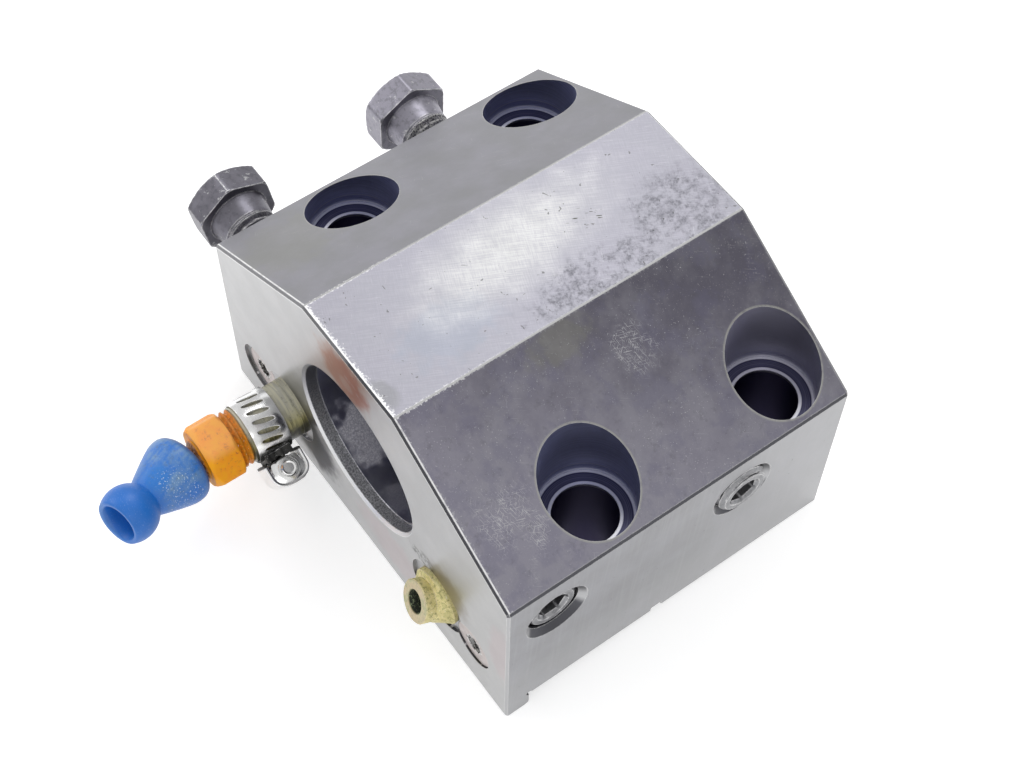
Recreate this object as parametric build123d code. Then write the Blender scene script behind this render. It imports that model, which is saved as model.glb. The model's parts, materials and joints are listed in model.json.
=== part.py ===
from build123d import *
import os
from math import cos, radians, sin, sqrt, tan

# Boring bar holder block for a lathe turret. Sizes are in millimetres.
# The origin is the centre of the four mounting bolts, on the mounting face.
# X runs across the block, Y along the bar bore with the front at -Y, and Z up
# from the mounting face.

# Block
BLOCK_WIDTH = 104.0
BLOCK_LENGTH = 83.6
SIDE_HEIGHT = 44.1
TOP_FLAT_WIDTH = 30.5
SLOPE_ANGLE = 30.0
EDGE_BREAK = 0.5
TOP_EDGE_BREAK = 0.2
LIP_THICKNESS = 5.9
LIP_DROP = 4.8
LIP_EDGE_ROUND = 1.1
LIP_RELIEF_RADIUS = 0.7
NICK_SETBACK = 39.0
NICK_WIDTH = 2.8
NICK_HEIGHT = 1.25

# Mounting bolts, M12 socket heads sunk from the slanted faces
BOLT_SPACING_X = 81.0
BOLT_SPACING_Y = 45.5
BOLT_SETBACK = 26.9
BOLT_HOLE_DIAMETER = 13.5
BOLT_HEAD_SINK_DIAMETER = 20.0
BOLT_SEAT_HEIGHT = 37.5

# Bar bore
BORE_DIAMETER = 38.1
BORE_HEIGHT = 32.0
BORE_ENTRY_DIAMETER = 38.9
BORE_ENTRY_DEPTH = 3.1
BORE_MOUTH_BREAK = 0.6

# Clamping screws, M12, two on each side at the height of the bar bore
SCREW_DIAMETER = 12.0
SCREW_SPACING = 46.0
SCREW_SETBACK = 11.75
SCREW_MOUTH_DIAMETER = 14.8
THREAD_CLEARANCE = 0.06

# Set screws in the right side
SET_SCREW_LENGTH = 30.0
SET_SCREW_SOCKET_FLATS = 6.0
SET_SCREW_SOCKET_DEPTH = 6.5
SET_SCREW_END_BREAK = 0.9
SET_SCREW_POINT_DIAMETER = 8.5
SET_SCREW_FRONT_SINK = 1.3
SET_SCREW_REAR_SINK = -0.8
SET_SCREW_FRONT_TURN = 0.0
SET_SCREW_REAR_TURN = 30.0

# Hex-head clamp bolts in the left side, backed off
CLAMP_BOLT_FLATS = 17.0
CLAMP_BOLT_HEAD_HEIGHT = 6.6
CLAMP_BOLT_CORNER_ANGLE = 30.0
CLAMP_BOLT_END_CHAMFER = 0.4
CLAMP_BOLT_NECK_DIAMETER = 13.8
CLAMP_BOLT_NECK_LENGTH = 4.8
CLAMP_BOLT_LENGTH = 40.0
CLAMP_BOLT_POINT_BREAK = 1.2
CLAMP_BOLT_FRONT_STANDOUT = 12.1
CLAMP_BOLT_REAR_STANDOUT = 12.5
CLAMP_BOLT_FRONT_TURN = 38.4
CLAMP_BOLT_REAR_TURN = 28.5

# Coolant ports in the front face, placed from the sides
PORT_EDGE_DISTANCE = 24.2
PORT_HEIGHT = 12.0
PORT_DIAMETER = 10.0
PORT_DEPTH = 14.0
PORT_SEAT_DIAMETER = 17.6
PORT_SEAT_DEPTH = 0.8
INLET_DIAMETER = 7.0
INLET_SETBACK = 10.5
INLET_EDGE_DISTANCE = 18.0

# Spare ports beside them, closed by plugs
PLUG_EDGE_DISTANCE = 11.7
PLUG_HEIGHT = 10.3
PLUG_DIAMETER = 11.0
PLUG_THICKNESS = 5.0
PLUG_HOLE_DEPTH = 14.0
PLUG_SOCKET_FLATS = 4.0
PLUG_SOCKET_TURN = 15.0
PLUG_SOCKET_DEPTH = 1.0
PLUG_LEFT_SEAT_DIAMETER = 13.3
PLUG_LEFT_SINK = 0.8
PLUG_RIGHT_SINK = 0.4
SEATED_CLEARANCE = 0.05

# Brass stubs pressed into the ports
STUB_SPIGOT_LENGTH = 11.0
STUB_COLLAR_DIAMETER = 13.4
STUB_COLLAR_REACH = 0.7
STUB_TUBE_DIAMETER = 9.6
STUB_BORE_DIAMETER = 4.8
STUB_RIGHT_REACH = 5.3
STUB_RIGHT_YAW = -10.0
STUB_RIGHT_RISE = 20.0
STUB_FLARE_LENGTH = 2.6
STUB_LEFT_REACH = 7.6

# Short hose and its worm-drive clamp
HOSE_DIAMETER = 13.3
HOSE_LENGTH = 12.3
CLAMP_SETBACK = 4.2
CLAMP_BAND_WIDTH = 8.0
CLAMP_BAND_THICKNESS = 0.6
CLAMP_SLOT_LENGTH = 4.8
CLAMP_SLOT_WIDTH = 1.15
CLAMP_SLOT_PITCH = 2.35
CLAMP_SLOT_SLANT = -13.0
CLAMP_SLOT_COUNT = 12
CLAMP_WORM_ANGLE = 60.6
CLAMP_WORM_OFFSET = 11.1
CLAMP_WORM_DIAMETER = 5.0
CLAMP_WORM_LENGTH = 8.0
CLAMP_WORM_PILOT_DIAMETER = 3.4
CLAMP_WORM_PILOT_LENGTH = 1.9
CLAMP_WORM_HEAD_FLATS = 6.0
CLAMP_WORM_HEAD_HEIGHT = 3.2
CLAMP_WORM_SLOT_WIDTH = 1.0
CLAMP_WORM_SLOT_DEPTH = 1.2
CLAMP_HOUSING_LENGTH = 9.0
CLAMP_HOUSING_WIDTH = 9.4
CLAMP_HOUSING_DOME = 3.9
CLAMP_HOUSING_ROUND = 3.6
CLAMP_HOUSING_EDGE_BREAK = 0.6
CLAMP_HOUSING_WALL = 1.0
CLAMP_HOUSING_CLEARANCE = 0.1
CLAMP_HOUSING_WINDOW_WIDTH = 6.4

# Plastic connector between the hose and the ball segment
CONNECTOR_THREAD_DIAMETER = 13.1
CONNECTOR_THREAD_LENGTH = 2.68
CONNECTOR_NIPPLE_LENGTH = 4.4
CONNECTOR_HEX_FLATS = 14.0
CONNECTOR_HEX_LENGTH = 7.2
CONNECTOR_HEX_TURN = 52.0
CONNECTOR_HEX_BREAK = 0.9
CONNECTOR_NECK_DIAMETER = 10.2
CONNECTOR_WAIST_DIAMETER = 7.0
CONNECTOR_BALL_DIAMETER = 12.4
CONNECTOR_BALL_SETBACK = 29.2
CONNECTOR_BALL_TIP = 4.96
CONNECTOR_BORE_DIAMETER = 4.6

# Ball-and-socket segment, swung sideways on the connector's ball
SEGMENT_YAW = 18.0
SEGMENT_RISE = 11.0
SEGMENT_SOCKET_CLEARANCE = 0.05
SEGMENT_RIM_DIAMETER = 16.0
SEGMENT_RIM_SETBACK = 2.0
SEGMENT_LIP_SETBACK = 3.3
SEGMENT_LIP_DIAMETER = 13.8
SEGMENT_NECK_DIAMETER = 8.6
SEGMENT_BALL_DIAMETER = 12.7
SEGMENT_BALL_REACH = 13.5
SEGMENT_MOUTH_REACH = 16.9
SEGMENT_MOUTH_DIAMETER = 8.6
SEGMENT_BORE_DIAMETER = 5.8
SEGMENT_SEAT_STEP = 1.3

# Worked out from the sizes above
FRONT = -(BOLT_SETBACK + BOLT_SPACING_Y / 2)
SIDE = BLOCK_WIDTH / 2
PORT_X = SIDE - PORT_EDGE_DISTANCE
PLUG_X = SIDE - PLUG_EDGE_DISTANCE
INLET_X = SIDE - INLET_EDGE_DISTANCE
SLOPE_RISE = (SIDE - TOP_FLAT_WIDTH / 2) * tan(radians(SLOPE_ANGLE))
BLOCK_HEIGHT = SIDE_HEIGHT + SLOPE_RISE
SCREW_PLACES = {"front": FRONT + SCREW_SETBACK, "rear": FRONT + SCREW_SETBACK + SCREW_SPACING}
SCREW_HOLE_RADIUS = SCREW_DIAMETER / 2 + THREAD_CLEARANCE
HOSE_START = STUB_COLLAR_REACH
HOSE_END = HOSE_START + HOSE_LENGTH
HOSE_BORE_RADIUS = STUB_TUBE_DIAMETER / 2 + SEATED_CLEARANCE
BAND_INNER_RADIUS = HOSE_DIAMETER / 2 + SEATED_CLEARANCE
BAND_OUTER_RADIUS = BAND_INNER_RADIUS + CLAMP_BAND_THICKNESS
BAND_MIDDLE = CLAMP_SETBACK + CLAMP_BAND_WIDTH / 2
THREAD_END = HOSE_END + CONNECTOR_THREAD_LENGTH
HEX_END = THREAD_END + CONNECTOR_HEX_LENGTH
SOCKET_RADIUS = CONNECTOR_BALL_DIAMETER / 2 + SEGMENT_SOCKET_CLEARANCE


def placed(origin, z_dir, x_dir):
    """Location whose own Z runs along z_dir from the origin."""
    return Plane(origin=origin, x_dir=x_dir, z_dir=z_dir).location


def turned(outline):
    """Solid of revolution about local Z from (radius, distance) points."""
    face = Plane.XZ * make_face(Polyline(*outline, close=True))
    return revolve(face, axis=Axis.Z)


def rod(radius, start, end):
    """Round bar about local Z between two distances."""
    return Pos(0, 0, start) * Cylinder(radius, end - start, align=(Align.CENTER, Align.CENTER, Align.MIN))


def hex_bar(flats, start, end, turn=0.0):
    """Hexagonal bar about local Z, with a corner at the given angle from local X."""
    corner_radius = flats / sqrt(3)
    sketch = RegularPolygon(corner_radius, 6, rotation=turn)
    return Pos(0, 0, start) * extrude(sketch, end - start)


def heading(yaw, rise):
    """Unit vector from the front face outward, turned towards +X by yaw and up by rise."""
    flat = cos(radians(rise))
    return Vector(sin(radians(yaw)) * flat, -cos(radians(yaw)) * flat, sin(radians(rise)))


def front_place(x, z):
    """Frame on the front face whose Z points out of the block, with X across and Y up."""
    return placed((x, FRONT, z), (0, -1, 0), (1, 0, 0))


def bolt_places():
    """Centres of the four mounting bolts."""
    return [
        (sx * BOLT_SPACING_X / 2, sy * BOLT_SPACING_Y / 2)
        for sx in (-1, 1)
        for sy in (-1, 1)
    ]


def block_blank():
    """Prism with two slanted upper faces, broken edges and the locating lip."""
    half_top = TOP_FLAT_WIDTH / 2
    outline = Polyline(
        (-SIDE, 0),
        (SIDE, 0),
        (SIDE, SIDE_HEIGHT),
        (half_top, BLOCK_HEIGHT),
        (-half_top, BLOCK_HEIGHT),
        (-SIDE, SIDE_HEIGHT),
        close=True,
    )
    section = Plane.XZ * make_face(outline)
    prism = Pos(0, FRONT, 0) * extrude(section, -BLOCK_LENGTH)
    lip = Pos(0, FRONT, 0) * Box(
        BLOCK_WIDTH, LIP_THICKNESS, 2 * LIP_DROP, align=(Align.CENTER, Align.MIN, Align.CENTER)
    )
    blank = prism + lip
    long_edges = blank.edges().filter_by(Axis.Y)
    blank = chamfer(long_edges.filter_by(lambda e: e.center().Z > SIDE_HEIGHT + EDGE_BREAK), TOP_EDGE_BREAK)
    long_edges = blank.edges().filter_by(Axis.Y)
    blank = chamfer(long_edges.filter_by(lambda e: abs(e.center().Z - SIDE_HEIGHT) < EDGE_BREAK), EDGE_BREAK)
    ends = blank.faces().filter_by(Axis.Y)
    front_face = ends.sort_by(Axis.Y)[0]
    rear_face = ends.sort_by(Axis.Y)[-1]
    rim = [e for e in front_face.edges() if e.center().Z > -LIP_DROP + EDGE_BREAK]
    rim += [e for e in rear_face.edges() if e.center().Z > EDGE_BREAK]
    blank = chamfer(rim, EDGE_BREAK)
    lip_edges = [
        e
        for e in blank.edges().filter_by(Axis.X)
        if abs(e.center().Z + LIP_DROP) < EDGE_BREAK / 2
    ]
    blank = fillet(lip_edges, LIP_EDGE_ROUND)
    relief = Pos(0, FRONT + LIP_THICKNESS, 0) * Rot(0, 90, 0) * Cylinder(LIP_RELIEF_RADIUS, BLOCK_WIDTH)
    nick = Pos(SIDE, FRONT + NICK_SETBACK, 0) * Box(NICK_HEIGHT, NICK_WIDTH, 2 * NICK_HEIGHT)
    return blank - relief - nick


def bar_bore():
    """Cutter for the stepped bar bore with broken mouths."""
    bore = BORE_DIAMETER / 2
    entry = BORE_ENTRY_DIAMETER / 2
    cutter = turned([
        (0, 1),
        (entry + BORE_MOUTH_BREAK + 1, 1),
        (entry, -BORE_MOUTH_BREAK),
        (entry, -BORE_ENTRY_DEPTH),
        (bore, -BORE_ENTRY_DEPTH),
        (bore, -BLOCK_LENGTH + BORE_MOUTH_BREAK),
        (bore + BORE_MOUTH_BREAK + 1, -BLOCK_LENGTH - 1),
        (0, -BLOCK_LENGTH - 1),
    ])
    return front_place(0, BORE_HEIGHT) * cutter


def bolt_sink(x, y):
    """Cutter for one mounting bolt: clearance hole and a sink with a flat seat."""
    hole = rod(BOLT_HOLE_DIAMETER / 2, -1, BOLT_SEAT_HEIGHT + 1)
    sink = rod(BOLT_HEAD_SINK_DIAMETER / 2, BOLT_SEAT_HEIGHT, BLOCK_HEIGHT + 1)
    return Pos(x, y, 0) * (hole + sink)


def screw_hole(side, y):
    """Cutter for one tapped hole from the side face into the bar bore."""
    mouth = SCREW_MOUTH_DIAMETER / 2
    depth = mouth - SCREW_HOLE_RADIUS
    cutter = turned([
        (0, 1),
        (mouth + 1, 1),
        (SCREW_HOLE_RADIUS, -depth),
        (SCREW_HOLE_RADIUS, -SIDE),
        (0, -SIDE),
    ])
    return placed((side * SIDE, y, BORE_HEIGHT), (side, 0, 0), (0, 1, 0)) * cutter


def port(side):
    """Cutter for one coolant port and its spot face."""
    seat = rod(PORT_SEAT_DIAMETER / 2, -PORT_SEAT_DEPTH, 1)
    hole = rod(PORT_DIAMETER / 2, -PORT_DEPTH, 1)
    return front_place(side * PORT_X, PORT_HEIGHT) * (seat + hole)


def plug_hole(side):
    """Cutter for one spare port, with the wider seat that the left one has."""
    cutter = rod(PLUG_DIAMETER / 2 + SEATED_CLEARANCE, -PLUG_HOLE_DEPTH, 1)
    if side < 0:
        cutter += rod(PLUG_LEFT_SEAT_DIAMETER / 2, -PLUG_LEFT_SINK, 1)
    return front_place(side * PLUG_X, PLUG_HEIGHT) * cutter


def inlet(side):
    """Cutter for the coolant inlet in the mounting face, which opens into a port and its spare."""
    return Pos(side * INLET_X, FRONT + INLET_SETBACK, 0) * rod(INLET_DIAMETER / 2, -1, PORT_HEIGHT)


def holder_block():
    block = block_blank() - bar_bore()
    for x, y in bolt_places():
        block -= bolt_sink(x, y)
    for y in SCREW_PLACES.values():
        block -= screw_hole(-1, y)
        block -= screw_hole(1, y)
    for side in (-1, 1):
        block -= port(side)
        block -= plug_hole(side)
        block -= inlet(side)
    return block


def clamp_bolt(y, standout, turn):
    """Hex-head bolt whose head stands off the left side face, with a tapered neck."""
    corner_radius = CLAMP_BOLT_FLATS / sqrt(3)
    end_radius = CLAMP_BOLT_FLATS / 2 - CLAMP_BOLT_END_CHAMFER
    drop = (corner_radius - end_radius) * tan(radians(CLAMP_BOLT_CORNER_ANGLE))
    dome = turned([
        (0, 0),
        (corner_radius, 0),
        (corner_radius, CLAMP_BOLT_HEAD_HEIGHT - drop),
        (end_radius, CLAMP_BOLT_HEAD_HEIGHT),
        (0, CLAMP_BOLT_HEAD_HEIGHT),
    ])
    head = hex_bar(CLAMP_BOLT_FLATS, 0, CLAMP_BOLT_HEAD_HEIGHT, -turn) & dome
    shank_radius = SCREW_DIAMETER / 2
    shank = turned([
        (0, 0),
        (CLAMP_BOLT_NECK_DIAMETER / 2, 0),
        (shank_radius, -CLAMP_BOLT_NECK_LENGTH),
        (shank_radius, -CLAMP_BOLT_LENGTH + CLAMP_BOLT_POINT_BREAK),
        (shank_radius - CLAMP_BOLT_POINT_BREAK, -CLAMP_BOLT_LENGTH),
        (0, -CLAMP_BOLT_LENGTH),
    ])
    return placed((-SIDE - standout, y, BORE_HEIGHT), (-1, 0, 0), (0, 1, 0)) * (head + shank)


def set_screw(y, sink, turn):
    """Socket set screw in the right side face, its socket outward."""
    radius = SCREW_DIAMETER / 2
    point_radius = SET_SCREW_POINT_DIAMETER / 2
    body = turned([
        (0, 0),
        (radius - SET_SCREW_END_BREAK, 0),
        (radius, -SET_SCREW_END_BREAK),
        (radius, -SET_SCREW_LENGTH + radius - point_radius),
        (point_radius, -SET_SCREW_LENGTH),
        (0, -SET_SCREW_LENGTH),
    ])
    socket = hex_bar(SET_SCREW_SOCKET_FLATS, -SET_SCREW_SOCKET_DEPTH, 1, turn)
    return placed((SIDE - sink, y, BORE_HEIGHT), (1, 0, 0), (0, 1, 0)) * (body - socket)


def port_plug(side):
    """Plug in a spare port, a little below the face on the right and on its seat on the left."""
    sink = PLUG_LEFT_SINK if side < 0 else PLUG_RIGHT_SINK
    disc = rod(PLUG_DIAMETER / 2, -sink - PLUG_THICKNESS, -sink)
    socket = hex_bar(PLUG_SOCKET_FLATS, -sink - PLUG_SOCKET_DEPTH, 1, PLUG_SOCKET_TURN)
    return front_place(side * PLUG_X, PLUG_HEIGHT) * (disc - socket)


def stub_root():
    """Spigot and collar that every stub has, about the port's axis."""
    spigot = rod(PORT_DIAMETER / 2 - SEATED_CLEARANCE, -STUB_SPIGOT_LENGTH, 0)
    collar = rod(STUB_COLLAR_DIAMETER / 2, -PORT_SEAT_DEPTH, STUB_COLLAR_REACH)
    return spigot + collar


def stub_right():
    """Open brass stub, its tube bent up and towards the bar."""
    out = heading(STUB_RIGHT_YAW, STUB_RIGHT_RISE)
    centre = Vector(PORT_X, FRONT, PORT_HEIGHT)
    base = front_place(PORT_X, PORT_HEIGHT)
    tube_radius = STUB_TUBE_DIAMETER / 2
    tilted = placed(centre + out * STUB_FLARE_LENGTH, out, (1, 0, 0))
    collar_rim = base * Pos(0, 0, STUB_COLLAR_REACH) * Circle(STUB_COLLAR_DIAMETER / 2)
    flare = loft([collar_rim, tilted * Circle(tube_radius)])
    tube = tilted * rod(tube_radius, 0, STUB_RIGHT_REACH - STUB_FLARE_LENGTH)
    rise_bore = placed(centre, out, (1, 0, 0)) * rod(STUB_BORE_DIAMETER / 2, 0, STUB_RIGHT_REACH + 1)
    spigot_bore = base * rod(STUB_BORE_DIAMETER / 2, -STUB_SPIGOT_LENGTH - 1, 0)
    elbow = Pos(*centre) * Sphere(STUB_BORE_DIAMETER / 2)
    return base * stub_root() + flare + tube - rise_bore - spigot_bore - elbow


def stub_left():
    """Straight brass stub inside the hose."""
    tube = rod(STUB_TUBE_DIAMETER / 2, 0, STUB_LEFT_REACH)
    bore = rod(STUB_BORE_DIAMETER / 2, -STUB_SPIGOT_LENGTH - 1, STUB_LEFT_REACH + 1)
    return front_place(-PORT_X, PORT_HEIGHT) * (stub_root() + tube - bore)


def hose_sleeve():
    """Short hose pushed over the left stub and the connector's nipple."""
    wall = rod(HOSE_DIAMETER / 2, HOSE_START, HOSE_END)
    bore = rod(HOSE_BORE_RADIUS, HOSE_START - 1, HOSE_END + 1)
    return front_place(-PORT_X, PORT_HEIGHT) * (wall - bore)


def clamp_band():
    """Steel band with slanted slots for the worm."""
    end = CLAMP_SETBACK + CLAMP_BAND_WIDTH
    band = rod(BAND_OUTER_RADIUS, CLAMP_SETBACK, end) - rod(BAND_INNER_RADIUS, CLAMP_SETBACK - 1, end + 1)
    step = CLAMP_SLOT_PITCH / BAND_OUTER_RADIUS
    first = radians(CLAMP_WORM_ANGLE - 90) - step
    for index in range(CLAMP_SLOT_COUNT):
        angle = first + index * step
        spot = (BAND_OUTER_RADIUS * cos(angle), BAND_OUTER_RADIUS * sin(angle), BAND_MIDDLE)
        slot = placed(spot, (cos(angle), sin(angle), 0), (-sin(angle), cos(angle), 0)) * Rot(
            0, 0, CLAMP_SLOT_SLANT
        ) * Box(CLAMP_SLOT_WIDTH, CLAMP_SLOT_LENGTH, 3 * CLAMP_BAND_THICKNESS)
        band -= slot
    return front_place(-PORT_X, PORT_HEIGHT) * band


def worm_place():
    """Frame on the worm's axis: Z along it towards the pilot end, X away from the hose."""
    angle = radians(CLAMP_WORM_ANGLE)
    along = Vector(cos(angle), 0, sin(angle))
    away = Vector(sin(angle), 0, -cos(angle))
    centre = Vector(-PORT_X, FRONT - BAND_MIDDLE, PORT_HEIGHT) + away * CLAMP_WORM_OFFSET
    return placed(centre, along, away)


def clamp_housing():
    """Pressed saddle over the worm, open towards the band."""
    half = CLAMP_HOUSING_LENGTH / 2
    half_width = CLAMP_HOUSING_WIDTH / 2
    foot = -(CLAMP_WORM_OFFSET - BAND_INNER_RADIUS)
    outline = Polyline(
        (CLAMP_HOUSING_DOME, -half_width),
        (foot, -half_width),
        (foot, half_width),
        (CLAMP_HOUSING_DOME, half_width),
        close=True,
    )
    arch = make_face(outline)
    arch = fillet(arch.vertices().group_by(Axis.X)[-1], CLAMP_HOUSING_ROUND)
    shell = Pos(0, 0, -half) * extrude(arch, 2 * half)
    ends = shell.faces().filter_by(Axis.Z)
    rims = [e for face in ends for e in face.edges() if e.center().X > foot + CLAMP_HOUSING_CLEARANCE]
    shell = chamfer(rims, CLAMP_HOUSING_EDGE_BREAK)
    worm_end = half - CLAMP_HOUSING_WALL
    shell -= rod(CLAMP_WORM_DIAMETER / 2 + CLAMP_HOUSING_CLEARANCE, -half - 1, worm_end)
    pilot_radius = CLAMP_WORM_PILOT_DIAMETER / 2 + CLAMP_HOUSING_CLEARANCE
    shell -= rod(pilot_radius, 0, half + 1)
    window = Box(CLAMP_WORM_OFFSET, CLAMP_HOUSING_WINDOW_WIDTH, 2 * CLAMP_HOUSING_WALL)
    window_middle = -pilot_radius - CLAMP_BAND_THICKNESS - CLAMP_WORM_OFFSET / 2
    shell -= Pos(window_middle, 0, half) * window
    hose_side = front_place(-PORT_X, PORT_HEIGHT) * rod(
        BAND_OUTER_RADIUS + CLAMP_HOUSING_CLEARANCE, 0, HOSE_END + CLAMP_HOUSING_WIDTH
    )
    return worm_place() * shell - hose_side


def clamp_worm():
    """Worm screw with a slotted hex head at its lower end and a pilot at its upper end."""
    worm_end = CLAMP_HOUSING_LENGTH / 2 - CLAMP_HOUSING_WALL - CLAMP_HOUSING_CLEARANCE
    worm_start = worm_end - CLAMP_WORM_LENGTH
    body = rod(CLAMP_WORM_DIAMETER / 2, worm_start, worm_end)
    pilot = rod(CLAMP_WORM_PILOT_DIAMETER / 2, worm_end, worm_end + CLAMP_WORM_PILOT_LENGTH)
    head = hex_bar(CLAMP_WORM_HEAD_FLATS, worm_start - CLAMP_WORM_HEAD_HEIGHT, worm_start)
    slot_place = Pos(0, 0, worm_start - CLAMP_WORM_HEAD_HEIGHT)
    slot = slot_place * Box(2 * CLAMP_WORM_HEAD_FLATS, CLAMP_WORM_SLOT_WIDTH, 2 * CLAMP_WORM_SLOT_DEPTH)
    return worm_place() * (body + pilot + head - slot)


def connector():
    """Moulded connector: nipple, threaded length, hexagon, neck and ball."""
    crest = CONNECTOR_THREAD_DIAMETER / 2
    nipple = HOSE_BORE_RADIUS - SEATED_CLEARANCE
    neck = CONNECTOR_NECK_DIAMETER / 2
    waist = CONNECTOR_WAIST_DIAMETER / 2
    ball = CONNECTOR_BALL_DIAMETER / 2
    waist_out = CONNECTOR_BALL_SETBACK - sqrt(ball**2 - waist**2)
    body = turned([
        (0, HOSE_END - CONNECTOR_NIPPLE_LENGTH),
        (nipple, HOSE_END - CONNECTOR_NIPPLE_LENGTH),
        (nipple, HOSE_END),
        (crest, HOSE_END),
        (crest, THREAD_END),
        (neck, THREAD_END),
        (neck, HEX_END),
        (waist, waist_out),
        (0, waist_out),
    ])
    flats_radius = CONNECTOR_HEX_FLATS / 2
    corner_radius = CONNECTOR_HEX_FLATS / sqrt(3)
    rounding = turned([
        (0, THREAD_END),
        (corner_radius - CONNECTOR_HEX_BREAK, THREAD_END),
        (corner_radius, THREAD_END + CONNECTOR_HEX_BREAK),
        (corner_radius, HEX_END - 2 * CONNECTOR_HEX_BREAK),
        (flats_radius - CONNECTOR_HEX_BREAK / 2, HEX_END),
        (0, HEX_END),
    ])
    grip = hex_bar(CONNECTOR_HEX_FLATS, THREAD_END, HEX_END, CONNECTOR_HEX_TURN) & rounding
    sphere = Pos(0, 0, CONNECTOR_BALL_SETBACK) * Sphere(ball)
    ball_tip = CONNECTOR_BALL_SETBACK + CONNECTOR_BALL_TIP
    sphere -= rod(ball, ball_tip, ball_tip + ball)
    bore = rod(CONNECTOR_BORE_DIAMETER / 2, 0, ball_tip + 1)
    return front_place(-PORT_X, PORT_HEIGHT) * (body + grip + sphere - bore)


def ball_segment():
    """Socket, waist and ball in one moulding, on an axis of its own through the ball it holds."""
    rim = SEGMENT_RIM_DIAMETER / 2
    lip = SEGMENT_LIP_DIAMETER / 2
    neck = SEGMENT_NECK_DIAMETER / 2
    ball = SEGMENT_BALL_DIAMETER / 2
    mouth = SEGMENT_MOUTH_DIAMETER / 2
    bore = SEGMENT_BORE_DIAMETER / 2
    mouth_outer = sqrt(ball**2 - (SEGMENT_MOUTH_REACH - SEGMENT_BALL_REACH) ** 2)
    neck_reach = SEGMENT_BALL_REACH - sqrt(ball**2 - neck**2)
    seat_mouth = bore + SEGMENT_SEAT_STEP
    seat_reach = sqrt(SOCKET_RADIUS**2 - seat_mouth**2)
    lip_inner = sqrt(SOCKET_RADIUS**2 - SEGMENT_LIP_SETBACK**2)
    bell = Polyline(
        (lip_inner, -SEGMENT_LIP_SETBACK),
        (lip, -SEGMENT_LIP_SETBACK),
        (rim, -SEGMENT_RIM_SETBACK),
        (rim, 0),
        (neck, neck_reach),
    )
    bulb = ThreePointArc((neck, neck_reach), (ball, SEGMENT_BALL_REACH), (mouth_outer, SEGMENT_MOUTH_REACH))
    bore_line = Polyline(
        (mouth_outer, SEGMENT_MOUTH_REACH),
        (mouth, SEGMENT_MOUTH_REACH),
        (bore, neck_reach),
        (bore, seat_reach + SEGMENT_SEAT_STEP),
        (seat_mouth, seat_reach),
    )
    seat = ThreePointArc((seat_mouth, seat_reach), (SOCKET_RADIUS, 0), (lip_inner, -SEGMENT_LIP_SETBACK))
    section = Plane.XZ * make_face(bell + bulb + bore_line + seat)
    moulding = revolve(section, axis=Axis.Z)
    centre = (-PORT_X, FRONT - CONNECTOR_BALL_SETBACK, PORT_HEIGHT)
    return placed(centre, heading(SEGMENT_YAW, SEGMENT_RISE), (1, 0, 0)) * moulding


def main():
    nodes = {
        "holder_block": holder_block(),
        "clamp_bolt_front": clamp_bolt(
            SCREW_PLACES["front"], CLAMP_BOLT_FRONT_STANDOUT, CLAMP_BOLT_FRONT_TURN
        ),
        "clamp_bolt_rear": clamp_bolt(
            SCREW_PLACES["rear"], CLAMP_BOLT_REAR_STANDOUT, CLAMP_BOLT_REAR_TURN
        ),
        "set_screw_front": set_screw(
            SCREW_PLACES["front"], SET_SCREW_FRONT_SINK, SET_SCREW_FRONT_TURN
        ),
        "set_screw_rear": set_screw(
            SCREW_PLACES["rear"], SET_SCREW_REAR_SINK, SET_SCREW_REAR_TURN
        ),
        "port_plug_right": port_plug(1),
        "port_plug_left": port_plug(-1),
        "coolant_stub_right": stub_right(),
        "coolant_stub_left": stub_left(),
        "hose_sleeve": hose_sleeve(),
        "hose_clamp_band": clamp_band(),
        "hose_clamp_housing": clamp_housing(),
        "hose_clamp_screw": clamp_worm(),
        "hose_connector": connector(),
        "ball_segment": ball_segment(),
    }
    os.makedirs("parts", exist_ok=True)
    for name, solid in nodes.items():
        export_step(solid, f"parts/{name}.step")
        print(name, round(solid.volume, 1), len(solid.solids()))


main()
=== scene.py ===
"""Boring bar holder block: the finish of every surface, the small forms, and the studio."""

import json
from math import atan2, copysign, cos, pi, radians, sin, sqrt, tan

import bmesh
import bpy
from mathutils import Matrix, Vector, noise


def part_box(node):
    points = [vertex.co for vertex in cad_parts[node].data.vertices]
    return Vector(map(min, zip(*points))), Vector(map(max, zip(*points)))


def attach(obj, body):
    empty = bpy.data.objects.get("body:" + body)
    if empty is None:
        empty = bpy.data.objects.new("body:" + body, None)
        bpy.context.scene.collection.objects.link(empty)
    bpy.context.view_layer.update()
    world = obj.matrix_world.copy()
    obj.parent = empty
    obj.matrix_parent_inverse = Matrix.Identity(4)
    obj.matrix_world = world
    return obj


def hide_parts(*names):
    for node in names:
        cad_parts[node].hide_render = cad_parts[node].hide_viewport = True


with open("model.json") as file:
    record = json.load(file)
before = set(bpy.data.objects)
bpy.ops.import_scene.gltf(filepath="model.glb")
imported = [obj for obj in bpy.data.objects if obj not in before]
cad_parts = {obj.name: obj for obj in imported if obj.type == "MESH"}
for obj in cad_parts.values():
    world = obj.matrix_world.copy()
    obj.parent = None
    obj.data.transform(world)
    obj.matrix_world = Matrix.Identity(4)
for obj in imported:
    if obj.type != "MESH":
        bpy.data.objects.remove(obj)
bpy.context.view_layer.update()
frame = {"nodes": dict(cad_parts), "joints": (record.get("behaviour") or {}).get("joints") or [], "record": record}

bl_info = {
    "name": "Boring Bar Holder Block",
    "version": (1, 0, 0),
    "blender": (4, 5, 0),
    "location": "3D View > Sidebar > Holder",
    "description": "Dresses a bar holder block with worn steel, bolts, a hose clamp and a coolant nozzle",
    "category": "Object",
}

NODES = frame["nodes"]
JOINTS = {joint["name"]: joint for joint in frame["joints"]}
MM = 0.001

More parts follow.
